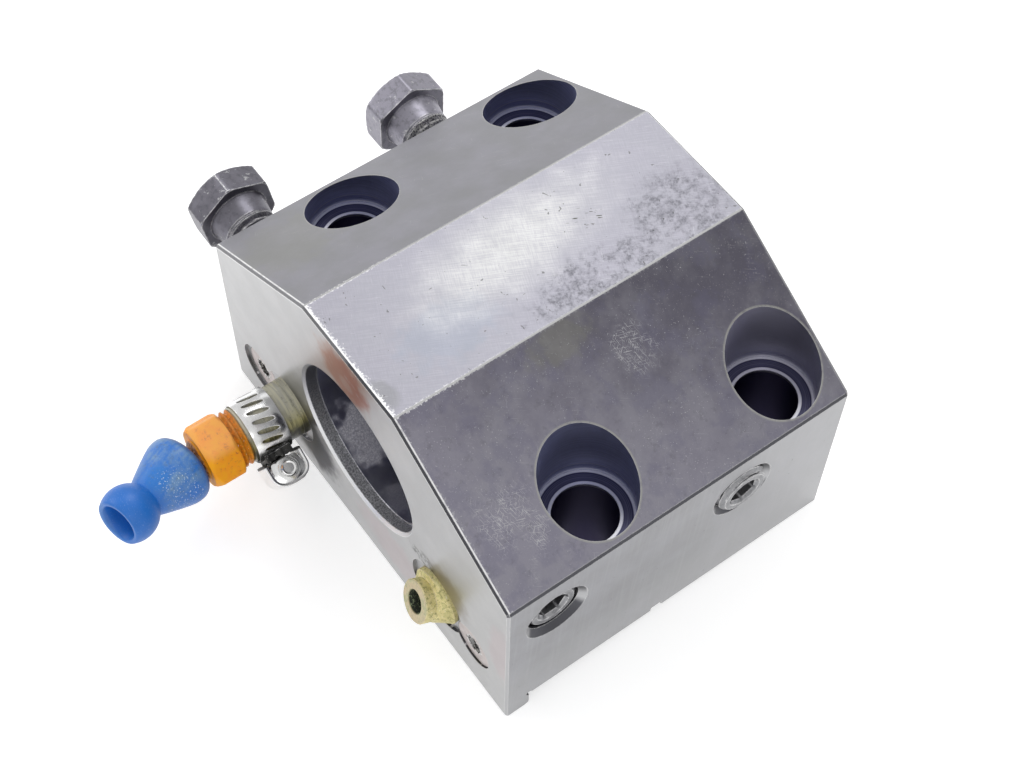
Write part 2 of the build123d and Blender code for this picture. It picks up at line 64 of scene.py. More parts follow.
# Where the block's own features lie, read from the frame, in millimetres
BLOCK_LOW, BLOCK_HIGH = (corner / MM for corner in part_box("holder_block"))
MOUNTS = {mount["name"]: mount for mount in frame["record"]["mounts"]}
BORE_HEIGHT = MOUNTS["bar_bore"]["pos_m"][2] / MM
BORE_RADIUS = MOUNTS["bar_bore"]["dims"]["r_mm"]
BOLT_X = MOUNTS["mounting_bolts"]["dims"]["spacing_x_mm"] / 2
BOLT_Y = MOUNTS["mounting_bolts"]["dims"]["spacing_y_mm"] / 2

# More of its features, in millimetres, which the frame doesn't name
SINK_RADIUS = 10.0
SEAT_HEIGHT = 37.5
HOLE_RIM = 7.0
TOP_HALF_WIDTH = 15.25
SLOPE = radians(30)
BROKEN_EDGE = 0.65
PORT_X = 27.8
PORT_HEIGHT = 12.0
CLAMP_THREAD_RADIUS = 6.0
TINY = 1e-6

# The front row of screws lies before the first of these along Y, the rear row behind the second
ROW_SPLIT = (-10.0, 0.0)

# The photograph's viewpoint
CAMERA_PLACE = Vector((165.62, -136.17, 357.09)) * MM
CAMERA_RIGHT = Vector((0.58690604, 0.80955174, 0.01293347))
CAMERA_DOWN = Vector((0.69265456, -0.49375861, -0.52576811))
CAMERA_FORWARD = Vector((-0.41925048, 0.3175349, -0.85052961))
CAMERA_LENS = 65.23


# Shader graphs


class Tone:
    """A shader socket that can be used in sums and products."""

    def __init__(self, graph, socket):
        self.graph = graph
        self.socket = socket

    def _with(self, operation, first, second):
        return self.graph.math(operation, first, second)

    def __add__(self, other):
        return self._with("ADD", self, other)

    def __radd__(self, other):
        return self._with("ADD", other, self)

    def __sub__(self, other):
        return self._with("SUBTRACT", self, other)

    def __rsub__(self, other):
        return self._with("SUBTRACT", other, self)

    def __mul__(self, other):
        return self._with("MULTIPLY", self, other)

    def __rmul__(self, other):
        return self._with("MULTIPLY", other, self)

    def __truediv__(self, other):
        return self._with("DIVIDE", self, other)

    def __abs__(self):
        return self.graph.math("ABSOLUTE", self)

    def __neg__(self):
        return self._with("MULTIPLY", self, -1.0)


class Finish:
    """One material's node tree, built from expressions on tones."""

    def __init__(self, name):
        self.material = bpy.data.materials.new(name)
        self.material.use_nodes = True
        self.tree = self.material.node_tree
        self.tree.nodes.clear()
        self.point = self.vector_math(
            "SCALE", {0: self.add("ShaderNodeTexCoord", {}, {}, "Object"), "Scale": 1 / MM}
        )
        self.x, self.y, self.z = self.split(self.point)

    def add(self, kind, settings, inputs, output=0):
        """Any node: its settings first, then the values or links of its sockets."""
        node = self.tree.nodes.new(kind)
        for name, value in settings.items():
            setattr(node, name, value)
        for name, value in inputs.items():
            if isinstance(value, Tone):
                self.tree.links.new(value.socket, node.inputs[name])
            else:
                node.inputs[name].default_value = value
        return Tone(self, node.outputs[output])

    def math(self, operation, *values):
        return self.add("ShaderNodeMath", {"operation": operation}, dict(enumerate(values)))

    def vector_math(self, operation, inputs, output=0):
        return self.add("ShaderNodeVectorMath", {"operation": operation}, inputs, output)

    def split(self, vector):
        node = self.tree.nodes.new("ShaderNodeSeparateXYZ")
        self.tree.links.new(vector.socket, node.inputs[0])
        return [Tone(self, output) for output in node.outputs]

    def joined(self, x, y, z):
        return self.add("ShaderNodeCombineXYZ", {}, {"X": x, "Y": y, "Z": z})

    def normal(self):
        return self.split(self.add("ShaderNodeTexCoord", {}, {}, "Normal"))

    def gate(self, value, low, high):
        """0 below low, 1 above high, smooth between."""
        return self.add(
            "ShaderNodeMapRange",
            {"interpolation_type": "SMOOTHSTEP"},
            {"Value": value, "From Min": low, "From Max": high},
        )

    def near(self, value, centre, half, soft):
        """1 within half of the centre, fading out over soft."""
        return 1.0 - self.gate(abs(value - centre), half, half + soft)

    def larger(self, first, second):
        return self.math("MAXIMUM", first, second)

    def distance(self, across, up):
        return self.math("SQRT", across * across + up * up)

    def depth_of_corner(self):
        """How far below the block's top and slopes a place is, less the width of the broken edge."""
        below_top = BLOCK_HIGH.z - self.z
        beyond_top = abs(self.x) - TOP_HALF_WIDTH
        below_slope = (BLOCK_HIGH.z - self.z) * cos(SLOPE) - beyond_top * sin(SLOPE)
        return self.math("MINIMUM", below_top, below_slope) - BROKEN_EDGE

    def along(self, origin, direction):
        """Distance from an origin, in millimetres, along a direction."""
        gone = self.vector_math("SUBTRACT", {0: self.point, 1: tuple(origin)})
        return self.vector_math("DOT_PRODUCT", {0: gone, 1: tuple(direction)}, "Value")

    def blob(self, u, u_centre, u_half, v, v_centre, v_half, ragged=0.0):
        """A soft oval patch, its edge broken up by noise."""
        reach = self.distance((u - u_centre) / u_half, (v - v_centre) / v_half)
        if ragged:
            reach = reach + ragged * (self.grain(0.35, 3.0) - 0.5)
        return 1.0 - self.gate(reach, 0.55, 1.05)

    def grain(self, scale, detail=2.0, vector=None, rough=0.5, warp=0.0):
        """Noise from 0 to 1, with its scale in turns per millimetre."""
        return self.add("ShaderNodeTexNoise", {}, {
            "Vector": vector or self.point,
            "Scale": scale,
            "Detail": detail,
            "Roughness": rough,
            "Distortion": warp,
        })

    def patches(self, scale, detail, rough, low, high):
        """Noise made into patches: 0 where it is below low, 1 where it is above high."""
        return self.gate(self.grain(scale, detail, rough=rough), low, high)

    def streaks(self, along, across, angle, length, width, seed=0.0):
        """Noise drawn out into lines at an angle in the plane of two coordinates."""
        turn = radians(angle)
        run = along * cos(turn) + across * sin(turn)
        side = across * cos(turn) - along * sin(turn)
        return self.grain(1.0, 1.0, self.joined(run / length, side / width, seed))

    def scratches(self, along, across, angle, length, width, rarity, seed=0.0):
        """Thin bright lines where the drawn-out noise peaks."""
        return self.gate(self.streaks(along, across, angle, length, width, seed), rarity, rarity + 0.035)

    def blend(self, share, first, second):
        """A colour between two, each a triple or a tone."""
        first, second = (
            colour if isinstance(colour, Tone) else (*colour, 1.0) for colour in (first, second)
        )
        return self.add("ShaderNodeMix", {"data_type": "RGBA"}, {0: share, 6: first, 7: second}, 2)

    def value(self, share, first, second):
        """A number between two."""
        return first + (second - first) * share

    def bump(self, height, strength, depth):
        inputs = {"Height": height, "Strength": strength, "Distance": depth * MM}
        return self.add("ShaderNodeBump", {}, inputs)

    def edges(self, radius):
        """1 on edges, from how far a rounded normal turns away from the surface."""
        rounded = self.add("ShaderNodeBevel", {"samples": 4}, {"Radius": radius * MM})
        plain = self.add("ShaderNodeNewGeometry", {}, {}, "Normal")
        return 1.0 - self.vector_math("DOT_PRODUCT", {0: rounded, 1: plain}, "Value")

    def close(self, inputs):
        """The surface shader, from what varies and what is constant."""
        shader = self.add("ShaderNodeBsdfPrincipled", {}, inputs)
        output = self.tree.nodes.new("ShaderNodeOutputMaterial")
        self.tree.links.new(shader.socket, output.inputs["Surface"])
        return self.material


# Mesh helpers


def new_piece(name, points, faces, material, place=None, crease=34.0):
    """An object in the frame's metres from points in millimetres, smooth but for its creases."""
    mesh = bpy.data.meshes.new(name)
    to_frame = Matrix.Scale(MM, 4) @ (place or Matrix.Identity(4))
    mesh.from_pydata([to_frame @ Vector(point) for point in points], [], faces)
    sheet = bmesh.new()
    sheet.from_mesh(mesh)
    bmesh.ops.remove_doubles(sheet, verts=sheet.verts, dist=1e-7)
    bmesh.ops.recalc_face_normals(sheet, faces=sheet.faces)
    sheet.to_mesh(mesh)
    sheet.free()
    for polygon in mesh.polygons:
        polygon.use_smooth = True
    mesh.set_sharp_from_angle(angle=radians(crease))
    mesh.materials.append(material)
    piece = bpy.data.objects.new(name, mesh)
    bpy.context.scene.collection.objects.link(piece)
    return piece


def skin(rings, loop=False):
    """Points and faces over rings of equal count, closed by a fan at each end or joined end to end."""
    count = len(rings[0])
    points = [point for ring in rings for point in ring]
    faces = []
    spans = len(rings) if loop else len(rings) - 1
    for row in range(spans):
        here = row * count
        there = ((row + 1) % len(rings)) * count
        for step in range(count):
            after = (step + 1) % count
            faces.append((here + step, here + after, there + after, there + step))
    if not loop:
        for start, turn in ((0, -1), (len(rings) - 1, 1)):
            centre = sum((Vector(point) for point in rings[start]), Vector()) / count
            points.append(tuple(centre))
            base = start * count
            for step in range(count):
                after = (step + 1) % count
                pair = (base + step, base + after)
                faces.append((*pair[::turn], len(points) - 1))
    return points, faces


def shaped_ring(radius_at, height, count):
    """Ring whose radius depends on the angle."""
    ring = []
    for step in range(count):
        angle = 2 * pi * step / count
        radius = radius_at(angle)
        ring.append((radius * cos(angle), radius * sin(angle), height))
    return ring


def round_ring(radius, height, count):
    return shaped_ring(lambda angle: radius, height, count)


def round_rings(profile, count):
    """One ring for each radius and height of a profile."""
    return [round_ring(radius, height, count) for radius, height in profile]


def hex_radius(angle, flats, corner, softness=0.0):
    """Distance to a hexagon's side at an angle, with its corners eased by softness."""
    half_side = pi / 6
    turn = (angle - corner + half_side) % (pi / 3) - half_side
    sharp = flats / 2 / cos(half_side - abs(turn))
    eased_turn = 0.14
    return sharp - softness * max(0.0, 1.0 - abs(turn) / eased_turn) ** 2


def axis_place(origin, along, across):
    """Matrix in millimetres whose Z runs along and whose X is near across."""
    z_axis = Vector(along).normalized()
    x_axis = (Vector(across) - z_axis * Vector(across).dot(z_axis)).normalized()
    y_axis = z_axis.cross(x_axis)
    rotation = Matrix((x_axis, y_axis, z_axis)).transposed().to_4x4()
    return Matrix.Translation(Vector(origin)) @ rotation


def middle(node):
    low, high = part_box(node)
    return (low + high) / 2 / MM


def lowest(node):
    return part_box(node)[0] / MM


def highest(node):
    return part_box(node)[1] / MM


def pivot(joint):
    """A joint's place, in millimetres."""
    return Vector(JOINTS[joint]["pos_m"]) / MM


def tilted(yaw, rise):
    """Direction out of the front face, turned sideways and upwards by degrees."""
    yaw, rise = radians(yaw), radians(rise)
    return Vector((sin(yaw) * cos(rise), -cos(yaw) * cos(rise), sin(rise)))


# Directions from the segment's socket to its ball, and of the right stub's bent part
SEGMENT_HEADING = tilted(18.0, 11.0)
STUB_HEADING = tilted(-10.0, 20.0)


def thicken(piece, wall, side, ease, segments):
    """Gives pressed strip its wall, on one side of its sheet, and eases its edges."""
    solid = piece.modifiers.new("wall", "SOLIDIFY")
    solid.thickness = wall
    solid.offset = side
    bevel = piece.modifiers.new("eased", "BEVEL")
    bevel.width = ease * MM
    bevel.segments = segments
    bevel.angle_limit = radians(50)


def dress(node, material):
    """Gives a carried-over node its finish."""
    mesh = NODES[node].data
    mesh.materials.clear()
    mesh.materials.append(material)


def settle(piece, body, slot, *nodes):
    """Piece rides on a body and stands for its nodes; the slot is not used."""
    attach(piece, body)
    if nodes:
        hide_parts(*nodes)


# Sizes and colours that a user may change


def size_of(label, description, millimetres):
    return bpy.props.FloatProperty(
        name=label, description=description, default=millimetres * MM, unit="LENGTH", precision=5
    )


def tint_of(label, description, default):
    return bpy.props.FloatVectorProperty(
        name=label, description=description, default=default, subtype="COLOR"
    )


class HolderSizes(bpy.types.PropertyGroup):
    """Sizes of the small forms."""

    bolt_flats: size_of("Bolt flats", "Clamp bolt across flats", 17.0)
    thread_pitch: size_of("Thread pitch", "Pitch of the clamp threads", 1.75)
    thread_depth: size_of("Thread depth", "Depth of the clamp threads", 1.0)
    slot_length: size_of("Slot length", "Length of a slot in the hose clamp", 4.8)
    slot_width: size_of("Slot width", "Width of a slot in the hose clamp", 1.1)
    wall: size_of("Pressed wall", "Thickness of pressed steel", 0.55)


class HolderColours(bpy.types.PropertyGroup):
    """Colours of the finishes, as linear values."""

    slope_right: tint_of("Dark slope", "Oxide on the right slope", (0.118, 0.112, 0.14))
    slope_left: tint_of("Grey slope", "Oxide on the left slope", (0.28, 0.28, 0.295))
    top_flat: tint_of("Top flat", "Thin oxide on the top flat", (0.232, 0.228, 0.26))
    rubbed: tint_of("Rubbed steel", "Steel where the oxide is gone", (0.4, 0.4, 0.4))
    front_face: tint_of("Front face", "Ground front face", (0.385, 0.385, 0.39))
    side_face: tint_of("Side face", "Side faces", (0.29, 0.29, 0.3))
    orange: tint_of("Connector", "Connector plastic", (1.0, 0.42, 0.005))
    blue: tint_of("Segment", "Segment plastic", (0.015, 0.165, 0.6))


def sizes():
    return bpy.context.scene.holder_sizes


def colours():
    return bpy.context.scene.holder_colours


# Finishes


class BlockZones:
    """Masks that tell the block's faces, edges and hollows apart."""

    def __init__(self, steel):
        x, y, z = steel.x, steel.y, steel.z
        nx, ny, nz = steel.normal()
        along_x = abs(nx)
        self.nz = nz
        self.depth = y - BLOCK_LOW.y
        self.right = steel.gate(x, -1.0, 1.0)
        square = (0.985, 0.995)
        self.top = steel.gate(nz, *square) * steel.gate(z, BLOCK_HIGH.z - 3, BLOCK_HIGH.z - 1)
        self.slope = steel.near(nz, 0.866, 0.02, 0.02) * steel.near(along_x, 0.5, 0.03, 0.02)
        at_side = steel.gate(abs(x), BLOCK_HIGH.x - 1, BLOCK_HIGH.x - 0.5)
        self.side = steel.gate(along_x, *square) * at_side
        self.front = steel.gate(-ny, *square) * (1.0 - steel.gate(self.depth, 0.2, 0.4))
        self.rear = steel.gate(ny, *square) * steel.gate(y, BLOCK_HIGH.y - 0.4, BLOCK_HIGH.y - 0.2)
        flat = self.top + self.slope + self.side + self.front + self.rear
        self.from_bolt = steel.distance(abs(x) - BOLT_X, abs(y) - BOLT_Y)
        in_sink = 1.0 - steel.gate(self.from_bolt, SINK_RADIUS, SINK_RADIUS + 0.1)
        self.sink = in_sink * steel.gate(z, SEAT_HEIGHT - 1, SEAT_HEIGHT)
        upright = (0.3, 0.5)
        self.sink_wall = self.sink * (1.0 - steel.gate(abs(nz), *upright))
        low = 1.0 - steel.gate(z, SEAT_HEIGHT + 0.2, SEAT_HEIGHT + 0.5)
        self.seat = self.sink * steel.gate(nz, 0.9, 0.97) * low
        in_hole = 1.0 - steel.gate(self.from_bolt, HOLE_RIM - 0.1, HOLE_RIM + 0.1)
        self.hole = in_hole * (1.0 - steel.gate(abs(nz), *upright)) * (1.0 - self.sink)
        self.from_bore = steel.distance(x, z - BORE_HEIGHT)
        self.bore = 1.0 - steel.gate(self.from_bore, BORE_RADIUS + 0.05, BORE_RADIUS + 0.15)
        self.entry = steel.near(self.from_bore, BORE_RADIUS + 0.5, 0.6, 0.1)
        self.mouth = self.entry * steel.gate(self.from_bore, BORE_RADIUS + 0.45, BORE_RADIUS + 0.5)
        outside = (1.0 - self.sink) * (1.0 - self.hole) * (1.0 - self.bore) * (1.0 - self.entry)
        self.edge = (1.0 - steel.gate(flat, 0.05, 0.2)) * steel.gate(z, -6.0, -5.0) * outside


def right_slope(steel, tint, specks):
    """Dark oxide, lightest at its lower front, clouded purple and grey, full of bright specks."""
    x, y = steel.x, steel.y
    cloud = steel.grain(0.14, 4.0, rough=0.65)
    reach = steel.gate(x * 0.7 - y * 0.35 + (cloud - 0.5) * 24.0, 4.0, 42.0)
    colour = steel.blend(reach, tint.slope_right, (0.285, 0.275, 0.325))
    smoke = steel.patches(0.07, 4.0, 0.7, 0.42, 0.62)
    colour = steel.blend(smoke * 0.2, colour, (0.28, 0.28, 0.295))
    olive = steel.blob(x, 18.5, 4.0, y, -14.0, 9.0, 1.2)
    colour = steel.blend(olive * 0.35, colour, (0.25, 0.25, 0.19))
    violet = steel.gate(steel.grain(0.16, 4.0, steel.joined(x, y, 30.0), 0.7), 0.46, 0.62)
    colour = steel.blend(violet * 0.28, colour, (0.15, 0.145, 0.22))
    stains = steel.patches(0.45, 4.0, 0.75, 0.54, 0.68)
    colour = steel.blend(stains * 0.22, colour, (0.1, 0.1, 0.115))
    thick = steel.patches(0.11, 3.0, 0.6, 0.35, 0.65)
    return steel.blend(specks * (0.15 + 0.6 * thick), colour, (0.6, 0.6, 0.62))


def left_slope(steel, tint, specks):
    """Grey oxide with a faint olive film towards the front."""
    cloud = steel.grain(0.12, 4.0, rough=0.6)
    colour = steel.blend(steel.gate(cloud, 0.3, 0.75), tint.slope_left, (0.315, 0.31, 0.345))
    olive = steel.blob(steel.x, -38.0, 12.0, steel.y, -40.0, 14.0, 1.2)
    colour = steel.blend(olive * 0.25, colour, (0.3, 0.3, 0.25))
    return steel.blend(specks * 0.1, colour, (0.5, 0.5, 0.5))


def top_flat(steel, tint, mill):
    """Thin lavender oxide, rubbed bright along the middle and mottled towards the right and the rear."""
    x, y = steel.x, steel.y
    cloud = steel.grain(0.14, 4.0, rough=0.65)
    weave = steel.streaks(x, y, -22.0, 3.0, 0.24, 9.0)
    lines = mill * 0.6 + weave * 0.4
    reach = steel.distance((x + y * 0.12 + 5.0) / 11.0, (y + 9.0) / 26.0) + (cloud - 0.5) * 1.1
    rubbed = (1.0 - steel.gate(reach, 0.1, 1.25)) * (0.55 + 0.45 * steel.gate(lines, 0.38, 0.62))
    colour = steel.blend(steel.gate(cloud, 0.3, 0.7), tint.top_flat, (0.26, 0.258, 0.29))
    colour = steel.blend(steel.gate(lines, 0.42, 0.62) * 0.25, colour, (0.34, 0.34, 0.37))
    blued = steel.blob(x, 5.0, 8.0, y, -30.0, 12.0, 1.2)
    colour = steel.blend(blued * 0.3, colour, (0.2, 0.235, 0.29))
    colour = steel.blend(rubbed, colour, tint.rubbed)
    place = steel.larger(
        steel.blob(y, 24.0, 13.0, x, 8.0, 11.0, 0.9), steel.blob(y, 1.0, 19.0, x, 11.5, 6.5, 0.9)
    )
    mottle = place * steel.patches(0.5, 8.0, 0.82, 0.44, 0.61)
    mottle = mottle * (0.4 + 0.6 * steel.patches(2.2, 3.0, 0.7, 0.42, 0.57))
    colour = steel.blend(mottle * 0.55, colour, (0.14, 0.14, 0.16))
    dashes = steel.near(steel.streaks(x, y, 59.0, 2.4, 0.5, 21.0), 0.75, 0.05, 0.03)
    dashes = dashes * steel.blob(x, -0.4, 3.5, y, 7.0, 5.0)
    colour = steel.blend(dashes, colour, (0.07, 0.07, 0.06))
    smear = steel.blob(x, 10.0, 4.5, y, -47.4, 2.2, 1.0)
    colour = steel.blend(smear * 0.4, colour, (0.15, 0.155, 0.15))
    dents = steel.near(steel.grain(0.5, 2.0, rough=0.5, warp=1.5), 0.76, 0.03, 0.02)
    return steel.blend(dents * 0.8, colour, (0.1, 0.1, 0.1)), mottle


def front_face(steel, zones, tint, specks):
    """Ground steel with brown over the bore, pink low down and at the corner, painted shade and reflection beside
    the hose and round the left port, and brown grime with the painted shadow of the right stub.

    Gives its share of painted shade and reflection too. The rear face, which has none of this, gets the plain
    ground steel.
    """
    x, z = steel.x, steel.z
    soft = steel.grain(0.1, 4.0, rough=0.6)
    fine = steel.grain(0.8, 4.0, rough=0.75)
    ground = steel.blend(steel.gate(soft, 0.35, 0.7), tint.front_face, (0.425, 0.425, 0.43))
    plain = steel.blend(specks * 0.3, ground, (0.25, 0.25, 0.26))
    warm = steel.blob(x, 12.0, 15.0, z, 6.5, 8.0, 0.8)
    warm = steel.larger(warm, steel.blob(x, 50.0, 4.5, z, 23.0, 14.0, 0.9))
    colour = steel.blend(warm * 0.4, plain, (0.43, 0.32, 0.34))
    brown = steel.blob(x, -1.8, 10.0, z, 57.8, 8.0, 0.8) * steel.patches(0.3, 3.0, 0.5, 0.24, 0.42)
    brown = brown * (1.0 - 0.35 * steel.blob(x, -0.9, 2.6, z, 56.2, 2.0, 0.6))
    to_right = steel.gate(x + (soft - 0.5) * 8.0, -9.0, 4.0)
    colour = steel.blend(
        brown * 0.88, colour, steel.blend(to_right, (0.33, 0.18, 0.125), (0.29, 0.1, 0.068))
    )
    # Painted shade and reflection: a dark, dull patch on the face between the hose clamp and the bore
    painted_shade_and_reflection = steel.blob(x, -19.0, 10.5, z, 8.5, 10.5, 0.6) * zones.front
    colour = steel.blend(painted_shade_and_reflection * 0.85, colour, (0.035, 0.033, 0.043))
    # Painted shade round the left port, on the face to the right of the hose
    from_port = steel.distance(x + PORT_X, z - PORT_HEIGHT)
    oil_and_shade = (1.0 - steel.gate(from_port + (soft - 0.5) * 3.0, 9.0, 14.0)) * steel.gate(x, -31.0, -23.0)
    colour = steel.blend(oil_and_shade * 0.85, colour, (0.035, 0.035, 0.027))
    # Brown grime, and the painted shadow of the right stub on the face to its right
    grime_and_shadow = steel.blob(x, 32.0, 8.0, z, 21.5, 7.5, 0.9)
    colour = steel.blend(grime_and_shadow * 0.55, colour, (0.2, 0.16, 0.125))
    dirt_and_shade = steel.gate(fine, 0.42, 0.56) * steel.blob(x, 24.0, 5.0, z, 21.5, 3.2, 1.2)
    colour = steel.blend(dirt_and_shade * 0.8, colour, (0.05, 0.05, 0.045))
    return steel.blend(zones.front, plain, colour), painted_shade_and_reflection


def side_face(steel, tint):
    """Drawn steel, painted lighter towards the rear and the bottom as a reflection of the floor, with small dark
    marks.
    """
    y, z = steel.y, steel.z
    cloud = steel.grain(0.1, 4.0, rough=0.6)
    colour = steel.blend(steel.gate(cloud, 0.3, 0.7), tint.side_face, (0.33, 0.33, 0.35))
    # Painted reflection of the floor: lighter towards the rear here, and towards the bottom below
    colour = steel.blend(steel.gate(y, -22.0, 34.0) * 0.6, colour, (0.44, 0.44, 0.45))
    draw = steel.streaks(z, y, 4.0, 26.0, 0.7, 2.0)
    colour = steel.blend(steel.gate(draw, 0.45, 0.75) * 0.2, colour, (0.42, 0.42, 0.43))
    colour = steel.blend((1.0 - steel.gate(z, -3.0, 24.0)) * 0.5, colour, (0.47, 0.47, 0.475))
    dots = steel.patches(0.9, 4.0, 0.7, 0.67, 0.73)
    return steel.blend(dots * 0.6, colour, (0.12, 0.12, 0.12))


def hollows(steel, zones, colour):
    """Counterbores, bolt holes and the bar bore; also the share of the bore that is sandy and painted light as a
    reflection.
    """
    x, y, z = steel.x, steel.y, steel.z
    tool = steel.grain(1.0, 2.0, steel.joined(zones.from_bolt * 0.1, z * 2.2, 0.0))
    wall = steel.blend(steel.gate(tool, 0.35, 0.8), (0.3, 0.32, 0.5), (0.39, 0.41, 0.62))
    wall = steel.blend(steel.gate(y, -6.0, 6.0) * zones.right * 0.7, wall, (0.58, 0.56, 0.64))
    ring = steel.larger(
        steel.near(z, SEAT_HEIGHT + 2.6, 0.06, 0.16), steel.near(z, SEAT_HEIGHT + 0.5, 0.15, 0.25)
    )
    dust = steel.patches(1.9, 3.0, 0.7, 0.62, 0.7)
    wall = steel.blend(ring * 0.5 + dust * 0.25, wall, (0.6, 0.6, 0.64))
    colour = steel.blend(zones.sink_wall, colour, wall)
    turned = steel.gate(steel.grain(1.0, 1.0, steel.joined(zones.from_bolt * 3.2, 0.0, 0.0)), 0.3, 0.7)
    seat = steel.blend(turned, (0.04, 0.04, 0.075), (0.1, 0.1, 0.15))
    lip = steel.larger(
        steel.near(zones.from_bolt, HOLE_RIM + 0.1, 0.2, 0.2),
        steel.near(zones.from_bolt, SINK_RADIUS - 0.3, 0.15, 0.2),
    )
    colour = steel.blend(zones.seat, colour, steel.blend(lip * 0.7, seat, (0.75, 0.75, 0.78)))
    colour = steel.blend(zones.hole, colour, (0.035, 0.026, 0.1))

    grit = steel.grain(2.8, 4.0, rough=0.75)
    # Painted highlight: the entry and the mouth's chamfer are painted lighter low down
    low = 1.0 - steel.gate(z, 10.0, 36.0)
    grit_and_highlight = (0.3 + 0.7 * steel.gate(grit, 0.4, 0.6)) * low
    entry = steel.blend(grit_and_highlight, (0.14, 0.14, 0.155), (0.8, 0.8, 0.82))
    colour = steel.blend(zones.entry, colour, entry)
    colour = steel.blend(zones.mouth, colour, steel.blend(low, (0.36, 0.36, 0.38), (0.88, 0.88, 0.89)))
    # Painted reflection with sand: a light, speckled patch low on the bore's left
    sand_and_reflection = steel.larger(
        steel.blob(x, -10.0, 7.0, zones.depth, 7.5, 5.5, 1.5),
        steel.blob(x, 6.0, 6.0, zones.depth, 5.5, 4.5, 1.5) * 0.35,
    )
    sand_and_reflection = sand_and_reflection * (0.45 + 0.55 * steel.gate(grit, 0.38, 0.66))
    sand_and_reflection = sand_and_reflection * (1.0 - steel.gate(z, 24.0, 28.0)) * zones.bore
    honed = steel.blend(steel.patches(0.14, 4.0, 0.5, 0.4, 0.7), (0.26, 0.26, 0.35), (0.4, 0.4, 0.47))
    honed = steel.blend(steel.gate(grit, 0.66, 0.72) * 0.6, honed, (0.8, 0.8, 0.8))
    colour = steel.blend(zones.bore, colour, steel.blend(sand_and_reflection, honed, (0.74, 0.73, 0.77)))
    return colour, sand_and_reflection


def wear(steel, zones, colour):
    """Broken and rubbed edges, the shade round the set screws' holes, rims with burrs and a painted edge
    highlight, and scratches.
    """
    x, y, z = steel.x, steel.y, steel.z
    burr = steel.patches(0.7, 4.0, 0.8, 0.34, 0.54)
    ragged = steel.grain(1.9, 4.0, rough=0.8)
    dark_edge = steel.blend(zones.right, (0.2, 0.2, 0.21), (0.085, 0.085, 0.095))
    broken = steel.blend(steel.gate(zones.nz, 0.2, 0.4), (0.44, 0.44, 0.45), dark_edge)
    long_top = steel.gate(zones.nz, 0.9, 0.93) * steel.gate(z, BLOCK_HIGH.z - 2, BLOCK_HIGH.z - 1)
    broken = steel.blend(long_top, broken, (0.5, 0.5, 0.5))
    colour = steel.blend(zones.edge, colour, broken)
    front, rear = middle("set_screw_front").y, middle("set_screw_rear").y
    from_screw = steel.distance(abs(y - (front + rear) / 2) - (rear - front) / 2, z - BORE_HEIGHT)
    ring = steel.near(from_screw, CLAMP_THREAD_RADIUS + 0.6, 0.5, 0.2)
    shaded = ring * zones.right * (1.0 - zones.side) * steel.gate(z, 31.0, 34.5)
    colour = steel.blend(shaded * steel.gate(x, 45.0, 48.0) * 0.85, colour, (0.045, 0.045, 0.05))

    # Painted highlight with burrs: the edges are painted bright, as light on a small broken edge
    rim = steel.gate(steel.edges(0.24), 0.006, 0.05) * (1.0 - zones.bore) * (1.0 - zones.hole)
    rim = rim * (1.0 - zones.entry * steel.gate(z, 14.0, 26.0))
    colour = steel.blend(rim * (0.3 + 0.6 * burr), colour, (0.66, 0.66, 0.65))
    around = steel.near(zones.from_bolt, SINK_RADIUS + 0.18, 0.08, 0.2) * zones.slope
    around = around * (0.3 + 0.7 * zones.right) * (0.5 + 0.5 * burr)
    colour = steel.blend(around * 0.6, colour, (0.4, 0.4, 0.36))

    upper = zones.top + zones.slope * zones.right
    line = steel.near(zones.depth, 0.62, 0.12, 0.12) * (zones.top + zones.slope)
    reach = zones.depth + (ragged - 0.5) * 6.0 + zones.slope * 0.35
    bruised = (1.0 - steel.gate(reach, 0.6, 1.2)) * upper * (0.45 + 0.55 * zones.top)
    bruised = steel.larger(bruised, line * (0.55 + 0.45 * burr))
    from_ridge = abs(abs(x) - TOP_HALF_WIDTH) + (ragged - 0.5) * 2.4
    towards_front = 1.0 - steel.gate(zones.depth, 6.0, 30.0)
    ridge = (1.0 - steel.gate(from_ridge, 0.1, 0.35)) * (zones.top + zones.slope)
    bruised = steel.larger(bruised, ridge * (0.2 + 0.6 * towards_front))
    bright = steel.blend(zones.slope, (0.66, 0.66, 0.66), (1.0, 1.0, 1.0))
    colour = steel.blend(bruised * 0.85, colour, bright)
    face_line = steel.near(steel.depth_of_corner(), 0.0, 0.1, 0.12) * zones.front
    colour = steel.blend(face_line * 0.6, colour, (0.8, 0.8, 0.8))

    knocks = steel.larger(
        steel.blob(y, -40.0, 9.0, x, 40.0, 9.0, 1.2), steel.blob(y, -1.0, 5.0, x, 26.0, 6.0, 1.2)
    )
    scratch = steel.scratches(x, y, 62.0, 5.0, 0.1, 0.72, 3.0)
    scratch = scratch + steel.scratches(x, y, -28.0, 4.0, 0.09, 0.74, 8.0)
    knocked = ((15.0, 2.5, 0.63, 12.0), (75.0, 2.5, 0.65, 17.0), (-50.0, 2.0, 0.66, 31.0))
    for angle, long, rarity, seed in knocked:
        scratch = scratch + steel.scratches(x, y, angle, long, 0.1, rarity, seed) * knocks
    scratch = scratch * (zones.slope + zones.top) * steel.patches(0.12, 2.0, 0.5, 0.4, 0.6)
    colour = steel.blend(scratch * (0.42 + 0.4 * knocks), colour, (0.62, 0.62, 0.63))
    marks = steel.scratches(y, z, 35.0, 4.0, 0.1, 0.74, 5.0) * (zones.side + zones.front)
    return steel.blend(marks * 0.3, colour, (0.6, 0.6, 0.6))


